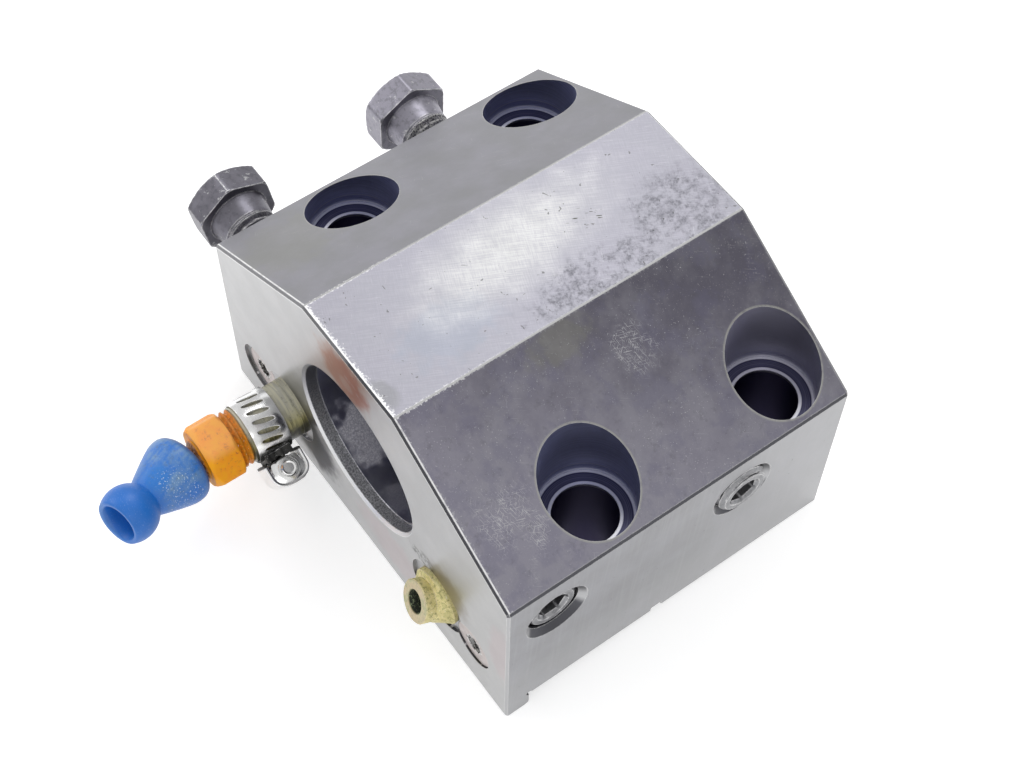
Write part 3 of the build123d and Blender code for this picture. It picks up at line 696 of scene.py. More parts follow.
def block_finish():
    """Darkened steel with a rubbed top, a ground front, bright edges and the stains of use."""
    tint = colours()
    steel = Finish("holder_block_steel")
    zones = BlockZones(steel)
    cloud = steel.grain(0.14, 4.0, rough=0.65)
    fine = steel.grain(1.6, 3.0, rough=0.7)
    pits = steel.grain(3.3, 3.0, rough=0.6)
    mill = steel.streaks(steel.x, steel.y, 63.0, 6.0, 0.2, 4.0)
    specks = steel.gate(pits, 0.64, 0.7)

    slopes = steel.blend(
        zones.right, left_slope(steel, tint, specks), right_slope(steel, tint, specks)
    )
    above, mottle = top_flat(steel, tint, mill)
    colour = steel.blend(zones.slope, (0.2, 0.2, 0.215), slopes)
    colour = steel.blend(zones.top, colour, above)
    colour = steel.blend(zones.side, colour, side_face(steel, tint))
    ahead, painted_shade_and_reflection = front_face(steel, zones, tint, specks)
    colour = steel.blend(zones.front + zones.rear, colour, ahead)
    colour, sand_and_reflection = hollows(steel, zones, colour)
    colour = wear(steel, zones, colour)

    # The painted shade and reflection beside the hose is made rougher and not metal, so that it renders dark
    rough = steel.value(zones.front, 0.42, 0.3) + (cloud - 0.5) * 0.12 + mottle * 0.15
    rough = steel.value(zones.bore, rough, 0.34) + painted_shade_and_reflection * 0.25
    height = fine * 0.4 + pits * 0.25 + mill * 0.4
    # The bore's painted reflection is made mostly not metal, so that it renders light
    return steel.close({
        "Base Color": colour,
        "Metallic": 1.0 - sand_and_reflection * 0.75 - painted_shade_and_reflection * 0.8,
        "Roughness": rough,
        "Normal": steel.bump(height, 0.3, 0.02),
    })


def worn_black_finish(name, base, worn, lighter, packed=(0.0, 1.0)):
    """Black-oxide fastener, rubbed on its edges, with chips in its thread between two places along X."""
    steel = Finish(name)
    rear_row = steel.gate(steel.y, *ROW_SPLIT)
    cloud = steel.grain(0.3, 4.0, rough=0.6)
    fine = steel.grain(2.4, 3.0, rough=0.7)
    paler, palest = (tuple(channel * more for channel in base) for more in (1.5, 2.2))
    colour = steel.blend(steel.gate(cloud, 0.35, 0.7) * 0.5, base, paler)
    colour = steel.blend(rear_row * lighter, colour, palest)
    edge = steel.gate(steel.edges(0.45), 0.006, 0.06)
    edge = edge * (0.45 + 0.55 * steel.patches(0.9, 3.0, 0.5, 0.4, 0.55))
    colour = steel.blend(edge * 0.95, colour, worn)
    dull = steel.patches(0.8, 4.0, 0.75, 0.48, 0.64)
    colour = steel.blend(dull * 0.35, colour, (0.07, 0.07, 0.078))
    rubs = steel.patches(0.55, 4.0, 0.7, 0.62, 0.68)
    colour = steel.blend(rubs * 0.5, colour, worn)
    first, last = packed
    thread = steel.gate(steel.x, first, first + 0.4) * (1.0 - steel.gate(steel.x, last, last + 0.4))
    thread = thread * (0.25 + 0.75 * rear_row)
    crumbs = steel.grain(2.6, 3.0, rough=0.75)
    chips = steel.blend(steel.gate(crumbs, 0.5, 0.58), (0.035, 0.033, 0.035), (0.62, 0.62, 0.58))
    colour = steel.blend(thread * (1.0 - steel.near(crumbs, 0.5, 0.02, 0.03)) * 0.8, colour, chips)
    return steel.close({
        "Base Color": colour,
        "Metallic": 1.0,
        "Roughness": 0.4 + (cloud - 0.5) * 0.2 + thread * 0.15,
        "Normal": steel.bump(fine + crumbs * thread, 0.25, 0.03),
    })


def plug_finish():
    """Dull pinkish steel, its small socket packed with chips, its edge painted near black as the shadow in the gap
    round it.
    """
    metal = Finish("port_plug_metal")
    cloud = metal.grain(0.5, 4.0, rough=0.6)
    colour = metal.blend(metal.gate(cloud, 0.35, 0.65), (0.47, 0.42, 0.41), (0.58, 0.53, 0.52))
    spots = metal.patches(1.3, 3.0, 0.5, 0.62, 0.7)
    colour = metal.blend(spots * 0.4, colour, (0.2, 0.17, 0.16))
    plug = middle("port_plug_right")
    from_middle = metal.distance(abs(metal.x) - plug.x, metal.z - plug.z)
    packed = 1.0 - metal.gate(from_middle + (cloud - 0.5) * 2.0, 2.2, 2.9)
    crumbs = metal.patches(1.5, 4.0, 0.8, 0.46, 0.54)
    chips = metal.blend(crumbs, (0.03, 0.03, 0.03), (0.85, 0.85, 0.85))
    colour = metal.blend(packed * 0.9, colour, chips)
    # Painted shadow: the plug's outer ring is painted near black, as the shade in the gap round it
    rim = metal.gate(from_middle, 5.3, 5.45)
    colour = metal.blend(rim, colour, (0.03, 0.028, 0.03))
    return metal.close({
        "Base Color": colour,
        "Metallic": 1.0,
        "Roughness": 0.36 + cloud * 0.2,
        "Normal": metal.bump(cloud + spots, 0.3, 0.05),
    })


def brass_finish():
    """Tarnished brass, grainy olive with rubbed pale rims, its bore painted near black as shade, with fouled
    specks.
    """
    brass = Finish("stub_brass")
    cloud = brass.grain(0.35, 4.0, rough=0.7)
    fine = brass.grain(1.4, 5.0, rough=0.8)
    colour = brass.blend(brass.gate(cloud, 0.35, 0.65), (0.74, 0.66, 0.28), (1.0, 0.86, 0.46))
    colour = brass.blend(brass.gate(cloud, 0.5, 0.58) * 0.45, colour, (0.5, 0.52, 0.17))
    colour = brass.blend(brass.gate(fine, 0.5, 0.63) * 0.75, colour, (0.2, 0.2, 0.06))
    colour = brass.blend((1.0 - brass.gate(fine, 0.34, 0.42)) * 0.8, colour, (1.0, 0.95, 0.72))
    edge = brass.gate(brass.edges(0.5), 0.02, 0.16) * brass.gate(fine, 0.36, 0.5)
    colour = brass.blend(edge * 0.8, colour, (0.95, 0.84, 0.64))
    foot, out = stub_foot(), STUB_HEADING
    along = brass.along(foot, out)
    level = out.cross((1, 0, 0)).normalized()
    from_axis = brass.distance(brass.along(foot, level), brass.along(foot, out.cross(level)))
    colour = brass.blend((1.0 - brass.gate(along, 0.2, 3.0)) * 0.35, colour, (0.42, 0.36, 0.12))
    face = brass.gate(along, 5.1, 5.25)
    ring = brass.blend(brass.gate(cloud, 0.4, 0.6), (0.6, 0.48, 0.36), (0.46, 0.46, 0.3))
    colour = brass.blend(face * 0.7, colour, ring)
    # Painted shade: the inside of the bore is painted near black, with fouled olive specks
    inside = (1.0 - brass.gate(from_axis, 2.5, 2.75)) * brass.gate(along, 1.0, 1.5)
    dirt_and_shade = brass.blend(brass.gate(fine, 0.52, 0.6), (0.02, 0.025, 0.015), (0.3, 0.36, 0.2))
    colour = brass.blend(inside, colour, dirt_and_shade)
    return brass.close({
        "Base Color": colour,
        "Metallic": 0.2,
        "Roughness": 0.4 + cloud * 0.2,
        "Normal": brass.bump(fine, 0.8, 0.18),
    })


def hose_finish(name="hose_rubber"):
    """Yellowed clear hose gone olive, painted paler above as a reflection and dark below and at its right as
    shade, with fine lines round it.
    """
    hose = Finish(name)
    lines = hose.grain(1.0, 3.0, hose.joined(hose.x * 0.12, hose.y * 1.6, hose.z * 0.12), 0.6)
    fine = hose.grain(0.9, 4.0, rough=0.7)
    colour = hose.blend(hose.gate(lines, 0.4, 0.6), (0.15, 0.135, 0.045), (0.46, 0.42, 0.19))
    # Painted reflection: paler above
    colour = hose.blend(hose.gate(hose.z + (fine - 0.5) * 2.0, 14.5, 18.5) * 0.6, colour, (0.6, 0.59, 0.54))
    colour = hose.blend(hose.gate(fine, 0.56, 0.7) * 0.5, colour, (0.08, 0.08, 0.04))
    # Painted shade: near black below and on the hose's right side
    below = 1.0 - hose.gate(hose.z + (fine - 0.5) * 3.0, 8.0, 11.0)
    beside = hose.gate(hose.x + (fine - 0.5) * 3.0, -23.5, -21.0) * (1.0 - hose.gate(hose.z, 13.0, 15.5))
    colour = hose.blend(hose.larger(below, beside) * 0.9, colour, (0.03, 0.03, 0.025))
    return hose.close({
        "Base Color": colour,
        "Roughness": 0.26 + fine * 0.2,
        "Coat Weight": 0.5,
        "Coat Roughness": 0.12,
        "Normal": hose.bump(lines + fine * 0.3, 0.25, 0.05),
    })


def clamp_finish():
    """Bright stainless strip, black with oil and chips where it passes under its worm."""
    steel = Finish("clamp_stainless")
    cloud = steel.grain(0.3, 3.0, rough=0.5)
    fine = steel.grain(2.6, 3.0, rough=0.7)
    brushed = steel.grain(1.0, 2.0, steel.joined(steel.x * 0.25, steel.y * 5.0, steel.z * 0.25))
    colour = steel.blend(steel.gate(cloud, 0.35, 0.7), (0.86, 0.86, 0.855), (0.74, 0.74, 0.74))
    colour = steel.blend(steel.gate(fine, 0.64, 0.72) * 0.3, colour, (0.3, 0.29, 0.27))
    worm = pivot("hose_clamp_screw_turn")
    hose = middle("hose_sleeve")
    away = Vector((worm.x - hose.x, worm.z - hose.z)).normalized()
    from_worm = (steel.x - worm.x) * away.x + (steel.z - worm.z) * away.y
    from_hose = steel.distance(steel.x - hose.x, steel.z - hose.z)
    crumbs = steel.grain(1.6, 4.0, rough=0.75)
    under = (1.0 - steel.gate(from_worm, -2.5, -2.1)) * steel.gate(from_hose, 7.35, 7.5)
    dirt_and_shade = steel.larger(under, steel.gate(from_worm + (crumbs - 0.5) * 3.0, -6.2, -4.6) * (1.0 - under))
    dirt_and_shade = dirt_and_shade * (1.0 - steel.gate(from_worm, -2.5, -2.1))
    oil_and_shade = steel.blend(steel.gate(crumbs, 0.6, 0.66), (0.025, 0.024, 0.022), (0.5, 0.5, 0.48))
    colour = steel.blend(dirt_and_shade * 0.95, colour, oil_and_shade)
    return steel.close({
        "Base Color": colour,
        "Metallic": 1.0,
        "Roughness": 0.17 + brushed * 0.12 + dirt_and_shade * 0.3,
        "Normal": steel.bump(brushed + dirt_and_shade * crumbs * 3.0, 0.12, 0.03),
    })


def orange_finish():
    """Orange plastic, paler towards the top, stained brown with grit, and packed with dirt at its neck."""
    tint = colours().orange
    plastic = Finish("connector_plastic")
    cloud = plastic.grain(0.4, 4.0, rough=0.65)
    grit = plastic.grain(1.0, 5.0, rough=0.75)
    colour = plastic.blend(plastic.gate(cloud, 0.35, 0.7), tint, (1.0, 0.33, 0.01))
    spots = plastic.gate(grit, 0.53, 0.63) * plastic.gate(cloud, 0.44, 0.58)
    colour = plastic.blend(spots * 0.6, colour, (0.42, 0.11, 0.04))
    pale = plastic.gate(plastic.z, 16.6, 18.6)
    colour = plastic.blend(pale * 0.3, colour, (0.95, 0.52, 0.3))
    ball = pivot("ball_segment_swivel")
    neck = 1.0 - plastic.gate(plastic.y + (cloud - 0.5) * 0.8, ball.y + 5.75, ball.y + 6.25)
    dirt = plastic.blend(plastic.gate(grit, 0.42, 0.56), (0.52, 0.3, 0.22), (0.14, 0.08, 0.06))
    colour = plastic.blend(neck * 0.9, colour, dirt)
    hose_end = lowest("hose_sleeve").y
    at_thread = plastic.gate(plastic.y, hose_end - 2.7, hose_end - 2.5)
    groove = plastic.blend(plastic.gate(grit, 0.4, 0.56), (0.62, 0.2, 0.03), (0.16, 0.06, 0.03))
    colour = plastic.blend(at_thread * 0.5, colour, groove)
    sparks = plastic.patches(1.9, 2.0, 0.5, 0.7, 0.74) * plastic.larger(at_thread, neck)
    colour = plastic.blend(sparks * 0.8, colour, (0.85, 0.8, 0.75))
    return plastic.close({
        "Base Color": colour,
        "Roughness": 0.36 + grit * 0.2,
        "Specular IOR Level": 0.25,
        "Normal": plastic.bump(grit + cloud, 0.4, 0.1),
    })


def blue_finish():
    """Blue plastic, bleached in streaks along the bell and flecked with white below them; its rim painted darker
    as shade and its mouth lighter as a highlight.
    """
    tint = colours().blue
    plastic = Finish("segment_plastic")
    cloud = plastic.grain(0.2, 4.0, rough=0.6)
    fine = plastic.grain(1.3, 5.0, rough=0.75)
    socket = pivot("ball_segment_swivel")
    along = plastic.along(socket, SEGMENT_HEADING)
    bell = 1.0 - plastic.gate(along, 6.0, 9.5)
    drawn = plastic.streaks(plastic.x, plastic.y, -72.0, 4.0, 0.9, 3.0)
    colour = plastic.blend(plastic.gate(cloud, 0.3, 0.7) * 0.3, tint, (0.012, 0.12, 0.42))
    above = plastic.gate(plastic.z, socket.z + 1.0, socket.z + 6.0)
    faded = plastic.gate(drawn * 0.2 + fine * 0.25 + cloud * 0.55, 0.36, 0.6)
    faded = faded * bell * (0.35 + 0.65 * above)
    colour = plastic.blend(faded * 0.9, colour, (0.17, 0.32, 0.54))
    patch = plastic.blob(plastic.x, socket.x + 2.0, 4.0, plastic.y, socket.y - 4.5, 3.5, 1.0)
    colour = plastic.blend(patch * 0.8, colour, (0.015, 0.19, 0.62))
    grime_and_shadow = plastic.patches(0.6, 5.0, 0.8, 0.52, 0.68) * bell
    colour = plastic.blend(grime_and_shadow * 0.45, colour, (0.1, 0.15, 0.19))
    # Painted shade: the snap rim is painted darker, as its rounded edge in shade
    rim = 1.0 - plastic.gate(along, -2.5, -1.5)
    colour = plastic.blend(rim * 0.6, colour, (0.01, 0.07, 0.27))
    flecked = plastic.blob(plastic.x, socket.x + 6.0, 4.5, along, 3.5, 4.5, 1.2)
    flecks = plastic.patches(3.0, 2.0, 0.5, 0.61, 0.67) * (0.08 + 0.92 * flecked)
    colour = plastic.blend(flecks * 0.8, colour, (0.66, 0.78, 0.84))
    # Painted highlight: the ball's mouth is painted lighter, as a light line along its edge
    tip = lowest("ball_segment").y
    mouth = 1.0 - plastic.gate(plastic.y, tip + 1.0, tip + 1.6)
    colour = plastic.blend(mouth * 0.25, colour, (0.2, 0.36, 0.62))
    return plastic.close({
        "Base Color": colour,
        "Roughness": 0.3 + fine * 0.2,
        "Specular IOR Level": 0.5,
        "Normal": plastic.bump(fine + cloud, 0.3, 0.08),
    })


def floor_finish():
    """Matt white sheet."""
    paper = Finish("floor_paper")
    cloud = paper.grain(0.008, 3.0)
    colour = paper.blend(paper.gate(cloud, 0.3, 0.8), (0.9, 0.9, 0.9), (0.86, 0.865, 0.87))
    seen = paper.larger(
        *(paper.add("ShaderNodeLightPath", {}, {}, ray) for ray in ("Is Camera Ray", "Is Glossy Ray"))
    )
    glow = paper.blend(seen, (0.0, 0.0, 0.0), (0.42, 0.42, 0.42))
    return paper.close({
        "Base Color": colour,
        "Roughness": 0.75,
        "Specular IOR Level": 0.2,
        "Emission Color": glow,
        "Emission Strength": 1.0,
    })


# Forms


def thread_radius(angle, height, crest, depth, pitch):
    """Radius of a helical thread with narrow flats, at an angle and a height."""
    phase = (height / pitch - angle / (2 * pi)) % 1.0
    rise = abs(phase - 0.5) * 2
    root_flat, flank = 0.12, 0.76
    share = min(1.0, max(0.0, (rise - root_flat) / flank))
    return crest - depth + depth * share


def bolt_rings(flats, head, corner, pitch, depth, reach):
    """Rings from the head's outer end, down its chamfer and flats, neck and thread to the point."""
    count = 120
    corner_radius = flats / sqrt(3)
    end_radius = flats / 2 - 0.5
    rings = round_rings(((end_radius - 1.5, head), (end_radius, head)), count)

    def faceted(height):
        cone = end_radius + (head - height) / tan(radians(30))
        foot = corner_radius - 0.55 + height * 1.6
        return lambda angle: min(hex_radius(angle, flats, corner, 0.12), cone, foot, corner_radius)

    steps = 26
    for step in range(1, steps + 1):
        height = head * (1 - step / steps)
        rings.append(shaped_ring(faceted(height), height, count))
    neck = 4.8
    neck_top = 0.04
    face = 6.95
    rings.append(round_ring(face, 0.0, count))
    for step in range(9):
        share = step / 8
        radius = CLAMP_THREAD_RADIUS + 0.7 * (1 - share) + (face - 6.7) * (1 - share) ** 4
        rings.append(round_ring(radius, -neck_top - (neck - neck_top) * share, count))
    per_turn = 10
    point_radius = 4.9

    def threaded(height, fade):
        limit = point_radius + max(0.0, height + reach)
        return lambda angle: min(
            thread_radius(angle, height, CLAMP_THREAD_RADIUS, depth * fade, pitch), limit
        )

    for step in range(int((reach - neck) / pitch * per_turn)):
        height = -neck - step * pitch / per_turn
        fade = min(1.0, step / (0.6 * per_turn))
        rings.append(shaped_ring(threaded(height, fade), height, count))
    rings.append(round_ring(point_radius - 0.3, -reach, count))
    return rings


def make_clamp_bolts():
    """Both hex-head bolts, standing off the left side."""
    size = sizes()
    thread_start = lowest("clamp_bolt_front").x + 11.2
    packed = (thread_start, thread_start + 8.0)
    material = worn_black_finish("clamp_bolt_steel", (0.16, 0.155, 0.18), (0.7, 0.7, 0.7), 0.6, packed)
    corners = {"clamp_bolt_front": radians(-38.4), "clamp_bolt_rear": radians(-28.5)}
    head = 6.6
    for node, corner in corners.items():
        centre = middle(node)
        low = lowest(node)
        reach = highest(node).x - low.x - head
        points, faces = skin(bolt_rings(
            size.bolt_flats / MM, head, corner, size.thread_pitch / MM, size.thread_depth / MM, reach
        ))
        place = axis_place((low.x + head, centre.y, centre.z), (-1, 0, 0), (0, 1, 0))
        bolt = new_piece(f"hex_{node}", points, faces, material, place, 28.0)
        settle(bolt, node, "bolt_steel", node)


def make_set_screws():
    """Both socket set screws, with their thread and hex socket."""
    material = worn_black_finish("set_screw_steel", (0.26, 0.26, 0.27), (0.75, 0.75, 0.75), 0.0)
    turns = {"set_screw_front": 0.0, "set_screw_rear": radians(30.0)}
    count = 96
    pitch = sizes().thread_pitch / MM
    depth = 0.95
    per_turn = 9
    key = 6.0
    end_radius = 5.0
    for node, turn in turns.items():
        centre = middle(node)
        high = highest(node)
        reach = high.x - lowest(node).x

        def threaded(height):
            limit = min(end_radius - height * 0.95, 4.25 + (reach + height))
            return lambda angle: min(
                thread_radius(angle, height, CLAMP_THREAD_RADIUS, depth, pitch), limit
            )

        rings = round_rings(((0.4, -7.9), (2.4, -6.6)), count)
        for height in (-6.2, -0.75):
            rings.append(shaped_ring(lambda angle: hex_radius(angle, key, turn), height, count))
        rings += round_rings(((3.75, 0.0), (end_radius, 0.0)), count)
        for step in range(1, int(reach / pitch * per_turn)):
            height = -step * pitch / per_turn
            rings.append(shaped_ring(threaded(height), height, count))
        rings.append(round_ring(4.2, -reach, count))
        points, faces = skin(rings)
        place = axis_place((high.x, centre.y, centre.z), (1, 0, 0), (0, 1, 0))
        screw = new_piece(f"socket_{node}", points, faces, material, place, 30.0)
        settle(screw, node, "screw_steel", node)


def hose_axis():
    """Place matrix on the hose's axis at the front face, whose Z runs out of the block."""
    centre = middle("hose_sleeve")
    return axis_place((centre.x, BLOCK_LOW.y, centre.z), (0, -1, 0), (1, 0, 0))


def out_from_face(y):
    """How far out of the front face a place along Y is."""
    return BLOCK_LOW.y - y


def make_hose():
    """The short hose, squeezed under its clamp."""
    start = out_from_face(highest("hose_sleeve").y)
    end = out_from_face(lowest("hose_sleeve").y)
    clamp_start = out_from_face(highest("hose_clamp_band").y)
    clamp_end = out_from_face(lowest("hose_clamp_band").y)
    outer = (highest("hose_sleeve").x - lowest("hose_sleeve").x) / 2
    count = 72
    bore = 4.9
    squeeze = 0.18
    lumps = 0.07
    rounded = 0.35

    def lumpy(out):
        swell = 0.0 if max(clamp_start - out, out - clamp_end) > 0 else -squeeze

        def radius(angle):
            lump = lumps * noise.noise(Vector((cos(angle) * 2, sin(angle) * 2, out * 0.5)))
            return outer + swell + min(0.0, lump)

        return radius

    rings = round_rings(((bore, start + 0.1), (outer - 0.1, start)), count)
    steps = 26
    for step in range(steps + 1):
        out = start + rounded + (end - start - 2 * rounded) * step / steps
        rings.append(shaped_ring(lumpy(out), out, count))
    rings += round_rings(((outer - 0.5, end), (bore, end - 0.2)), count)
    points, faces = skin(rings, loop=True)
    hose = new_piece("short_hose", points, faces, hose_finish(), hose_axis(), 50.0)
    settle(hose, "block", "hose_rubber", "hose_sleeve")


def slotted_cell(pitch, width, slot_length, slot_width):
    """Flat cell of the band with a lens-shaped slot: outer and inner loops of equal count."""
    steps = 28
    outer, inner = [], []
    for step in range(steps):
        angle = 2 * pi * (step + 0.5) / steps
        across, along = cos(angle), sin(angle)
        reach = min(pitch / 2 / max(abs(across), TINY), width / 2 / max(abs(along), TINY))
        outer.append((across * reach, along * reach))
        bow = slot_width / 2 * abs(across) ** 0.9
        inner.append((copysign(bow, across), slot_length / 2 * along))
    for right, up in ((1, 1), (-1, 1), (-1, -1), (1, -1)):
        corner = (right * pitch / 2, up * width / 2)

        def from_corner(k):
            return (outer[k][0] - corner[0]) ** 2 + (outer[k][1] - corner[1]) ** 2

        outer[min(range(steps), key=from_corner)] = corner
    return outer, inner


def make_hose_clamp():
    """Slotted band, pressed housing and worm screw of the hose clamp."""
    size = sizes()
    material = clamp_finish()
    low, high = lowest("hose_clamp_band"), highest("hose_clamp_band")
    width = high.y - low.y
    middle_out = out_from_face((low.y + high.y) / 2)
    outer_radius = (high.x - low.x) / 2 - 0.01
    radius = outer_radius - size.wall / MM
    worm = pivot("hose_clamp_screw_turn")
    centre = middle("hose_sleeve")
    worm_angle = atan2(worm.z - centre.z, worm.x - centre.x)
    slotted = 12
    plain = 7
    pitch = 2.35
    step = pitch / outer_radius
    rest = (2 * pi - slotted * step) / plain
    lean = tan(radians(13.0))
    points, faces = [], []
    outer, inner = slotted_cell(pitch, width, size.slot_length / MM, size.slot_width / MM)
    count = len(outer)

    for cell in range(slotted + plain):
        open_cell = cell < slotted
        stretch = 1.0 if open_cell else rest / step
        shift = worm_angle + (cell - 1) * step
        if not open_cell:
            shift = worm_angle + (slotted - 1.5) * step + (cell - slotted + 0.5) * rest

        def wrapped(u, v):
            angle = shift + (u * stretch + v * lean) / outer_radius
            return (radius * cos(angle), radius * sin(angle), middle_out + v)

        base = len(points)
        points += [wrapped(u, v) for u, v in outer]
        if open_cell:
            for margin in (0.16, 0.0):
                points += [wrapped(u + copysign(margin, u), v * (1 + margin / 3)) for u, v in inner]
            for k in range(count):
                after = (k + 1) % count
                for loop in (base, base + count):
                    faces.append((loop + k, loop + after, loop + count + after, loop + count + k))
        else:
            points += [wrapped(u * 0.5, v * 0.5) for u, v in outer]
            points.append(wrapped(0.0, 0.0))
            for k in range(count):
                after = (k + 1) % count
                faces.append((base + k, base + after, base + count + after, base + count + k))
                faces.append((base + count + k, base + count + after, base + 2 * count))
    band = new_piece("slotted_band", points, faces, material, hose_axis(), 40.0)
    thicken(band, size.wall, 1.0, 0.09, 2)
    settle(band, "block", "clamp_steel", "hose_clamp_band")

    away = Vector((worm.x - centre.x, 0, worm.z - centre.z)).normalized()
    place = axis_place(worm, JOINTS["hose_clamp_screw_turn"]["axis"], away)
    half = 4.45
    make_saddle(material, place, half)
    make_clamp_tail(material, place, outer_radius, half)
    make_saddle_end(material, place, half - 0.3)
    make_worm(material, place)


def make_saddle(material, place, half):
    """Pressed arch of strip over the worm."""
    foot = -3.0
    rise, side_reach = 3.75, 4.6
    power = 0.8
    steps = 24
    arch = []
    for step in range(steps + 1):
        angle = -pi / 2 + pi * step / steps
        across = abs(cos(angle)) ** power * rise
        side = (abs(sin(angle)) ** power) * side_reach * (1 if sin(angle) > 0 else -1)
        arch.append((across, side))
    left = [(foot, -side_reach), (foot * 0.5, -side_reach)]
    right = [(foot * 0.5, side_reach), (foot, side_reach)]
    outline = left + arch + right
    stations = [-half, -half + 0.5, -1.5, 1.5, half - 0.9, half - 0.35, half]
    points, faces = [], []
    for height in stations:
        swell = 1.0 - 0.035 * (abs(height) / half) ** 4
        points += [(u * swell, v * swell, height) for u, v in outline]
    count = len(outline)
    for row in range(len(stations) - 1):
        for k in range(count - 1):
            here = row * count + k
            faces.append((here, here + 1, here + 1 + count, here + count))
    shell = new_piece("clamp_saddle", points, faces, material, place, 45.0)
    thicken(shell, 0.75 * MM, -1.0, 0.2, 3)
    settle(shell, "block", "clamp_steel", "hose_clamp_housing")


def make_saddle_end(material, place, top):
    """Ear round the worm's pilot, at the saddle's upper end."""
    count = 64

    def ear(inset):
        def radius(angle):
            across, side = cos(angle), sin(angle)
            reach = min(
                4.4 / max(abs(side), TINY),
                (3.6 if across > 0 else 2.35) / max(abs(across), TINY),
                (4.15 if across > 0 else 3.6),
            )
            return reach - inset

        return radius

    collar = ((1.95, -0.75), (1.95, 0.05), (2.35, 0.3), (2.75, 0.05))
    rings = round_rings([(radius, top + height) for radius, height in collar], count)
    for inset, height in ((0.35, 0.0), (0.0, -0.25), (0.0, -0.75)):
        rings.append(shaped_ring(ear(inset), top + height, count))
    points, faces = skin(rings, loop=True)
    cap = new_piece("clamp_saddle_end", points, faces, material, place, 40.0)
    settle(cap, "block", "clamp_steel")


def make_clamp_tail(material, place, band_radius, half):
    """The band's free end, packed with chips between the band and the worm."""
    offset = (pivot("hose_clamp_screw_turn") - middle("hose_sleeve")).xz.length
    columns, rows = 30, 14
    half_width = 3.1
    points, faces = [], []
    for layer in range(2):
        for row in range(rows + 1):
            for column in range(columns + 1):
                along = -half + 0.4 + (2 * half - 1.4) * column / columns
                side = -half_width + 2 * half_width * row / rows
                lump = noise.noise(Vector((along * 0.9, side * 0.9, 4.0)))
                hump = sqrt(max(0.0, (band_radius + 0.03) ** 2 - along**2))
                bunched = max(hump + 0.2, offset - 2.9 + 1.1 * lump)
                away = hump if layer == 0 else min(offset - 2.5, bunched)
                points.append((away - offset, side, along + 0.5 * lump * column / columns))
    sheet = (rows + 1) * (columns + 1)

    def add_face(*corners):
        faces.append(tuple(layer * sheet + row * (columns + 1) + column for layer, row, column in corners))

    for row in range(rows):
        for column in range(columns):
            ring = [(row, column), (row, column + 1), (row + 1, column + 1), (row + 1, column)]
            add_face(*((0, *spot) for spot in ring))
            add_face(*((1, *spot) for spot in reversed(ring)))
    for column in range(columns):
        for row in (0, rows):
            add_face((0, row, column), (0, row, column + 1), (1, row, column + 1), (1, row, column))
    for row in range(rows):
        for column in (0, columns):
            add_face((0, row, column), (0, row + 1, column), (1, row + 1, column), (1, row, column))
    tail = new_piece("clamp_tail", points, faces, material, place, 50.0)
    settle(tail, "block", "clamp_steel")


def make_worm(material, place):
    """Worm with its pilot, thread and hexagon head, whose end is dished."""
    count = 64
    crest, depth, pitch = 2.45, 0.6, 2.3
    per_turn = 12
    thread_top, thread_run = 3.4, 7.9
    pilot_end = 5.2
    rings = round_rings((
        (1.1, pilot_end - 0.25), (1.45, pilot_end), (1.65, pilot_end - 0.25), (1.65, thread_top + 0.05)
    ), count)
    for step in range(int(thread_run / pitch * per_turn)):
        height = thread_top - step * pitch / per_turn
        rings.append(shaped_ring(
            lambda angle: thread_radius(angle, height, crest, depth, pitch), height, count
        ))
    head = -4.6
    flats = 6.0
    for inset, height in ((0.35, head), (0.0, head - 0.3), (0.0, head - 2.6), (0.5, head - 3.1)):
        rings.append(shaped_ring(lambda angle: hex_radius(angle, flats, 0.0, 0.1) - inset, height, count))
    rings += round_rings(((2.2, head - 3.15), (1.9, head - 2.2)), count)
    points, faces = skin(rings)
    worm = new_piece("clamp_worm", points, faces, material, place, 30.0)
    settle(worm, "hose_clamp_screw", "clamp_steel", "hose_clamp_screw")


def mouth_angle(ball, out):
    """Angle off the axis of the place on a ball that stands a distance out of its centre."""
    return atan2(sqrt(ball**2 - out**2), out)


def ball_profile(ball, centre, first, last):
    """Radii and heights along a ball, after the first angle off its axis and up to the last."""
    steps = 24
    angles = (first + (last - first) * step / steps for step in range(1, steps + 1))
    return [(ball * sin(angle), centre + ball * cos(angle)) for angle in angles]


def make_connector():
    """Orange connector: nipple, thread, hexagon with eased corners, neck and ball."""
    start = out_from_face(highest("hose_connector").y)
    thread_start = out_from_face(lowest("hose_sleeve").y)
    pitch, crest, depth = 1.34, 6.55, 0.75
    thread_end = thread_start + 2 * pitch
    hex_end = thread_end + 7.2
    ball_centre = out_from_face(pivot("ball_segment_swivel").y)
    ball = 6.15
    neck = 3.5
    bore = 2.3
    tip = ball_centre + 0.78 * ball
    count = 120
    flats = 14.0
    corner = radians(52.0)
    rings = round_rings(((bore, start), (4.75, start), (4.78, thread_start)), count)
    per_turn = 14
    for step in range(2 * per_turn + 1):
        height = thread_start + step * pitch / per_turn
        rings.append(shaped_ring(
            lambda angle: thread_radius(-angle, height, crest, depth, pitch), height, count
        ))
    steps = 30
    for step in range(steps + 1):
        height = thread_end + (hex_end - thread_end) * step / steps
        near_cone = crest + 0.55 + (height - thread_end) * 1.2
        far_cone = flats / 2 - 0.35 + (hex_end - height) * 0.75
        rings.append(shaped_ring(
            lambda angle: min(hex_radius(angle, flats, corner, 0.25), near_cone, far_cone), height, count
        ))
    waist_out = ball_centre - sqrt(ball**2 - neck**2)
    rings += round_rings(((5.1, hex_end + 0.05), (4.6, hex_end + 0.5), (neck, waist_out)), count)
    first = atan2(neck, waist_out - ball_centre)
    last = mouth_angle(ball, tip - ball_centre)
    rings += round_rings(ball_profile(ball, ball_centre, first, last), count)
    rings.append(round_ring(bore, tip, count))
    points, faces = skin(rings, loop=True)
    piece = new_piece("orange_connector", points, faces, orange_finish(), hose_axis(), 32.0)
    settle(piece, "block", "orange_plastic", "hose_connector")


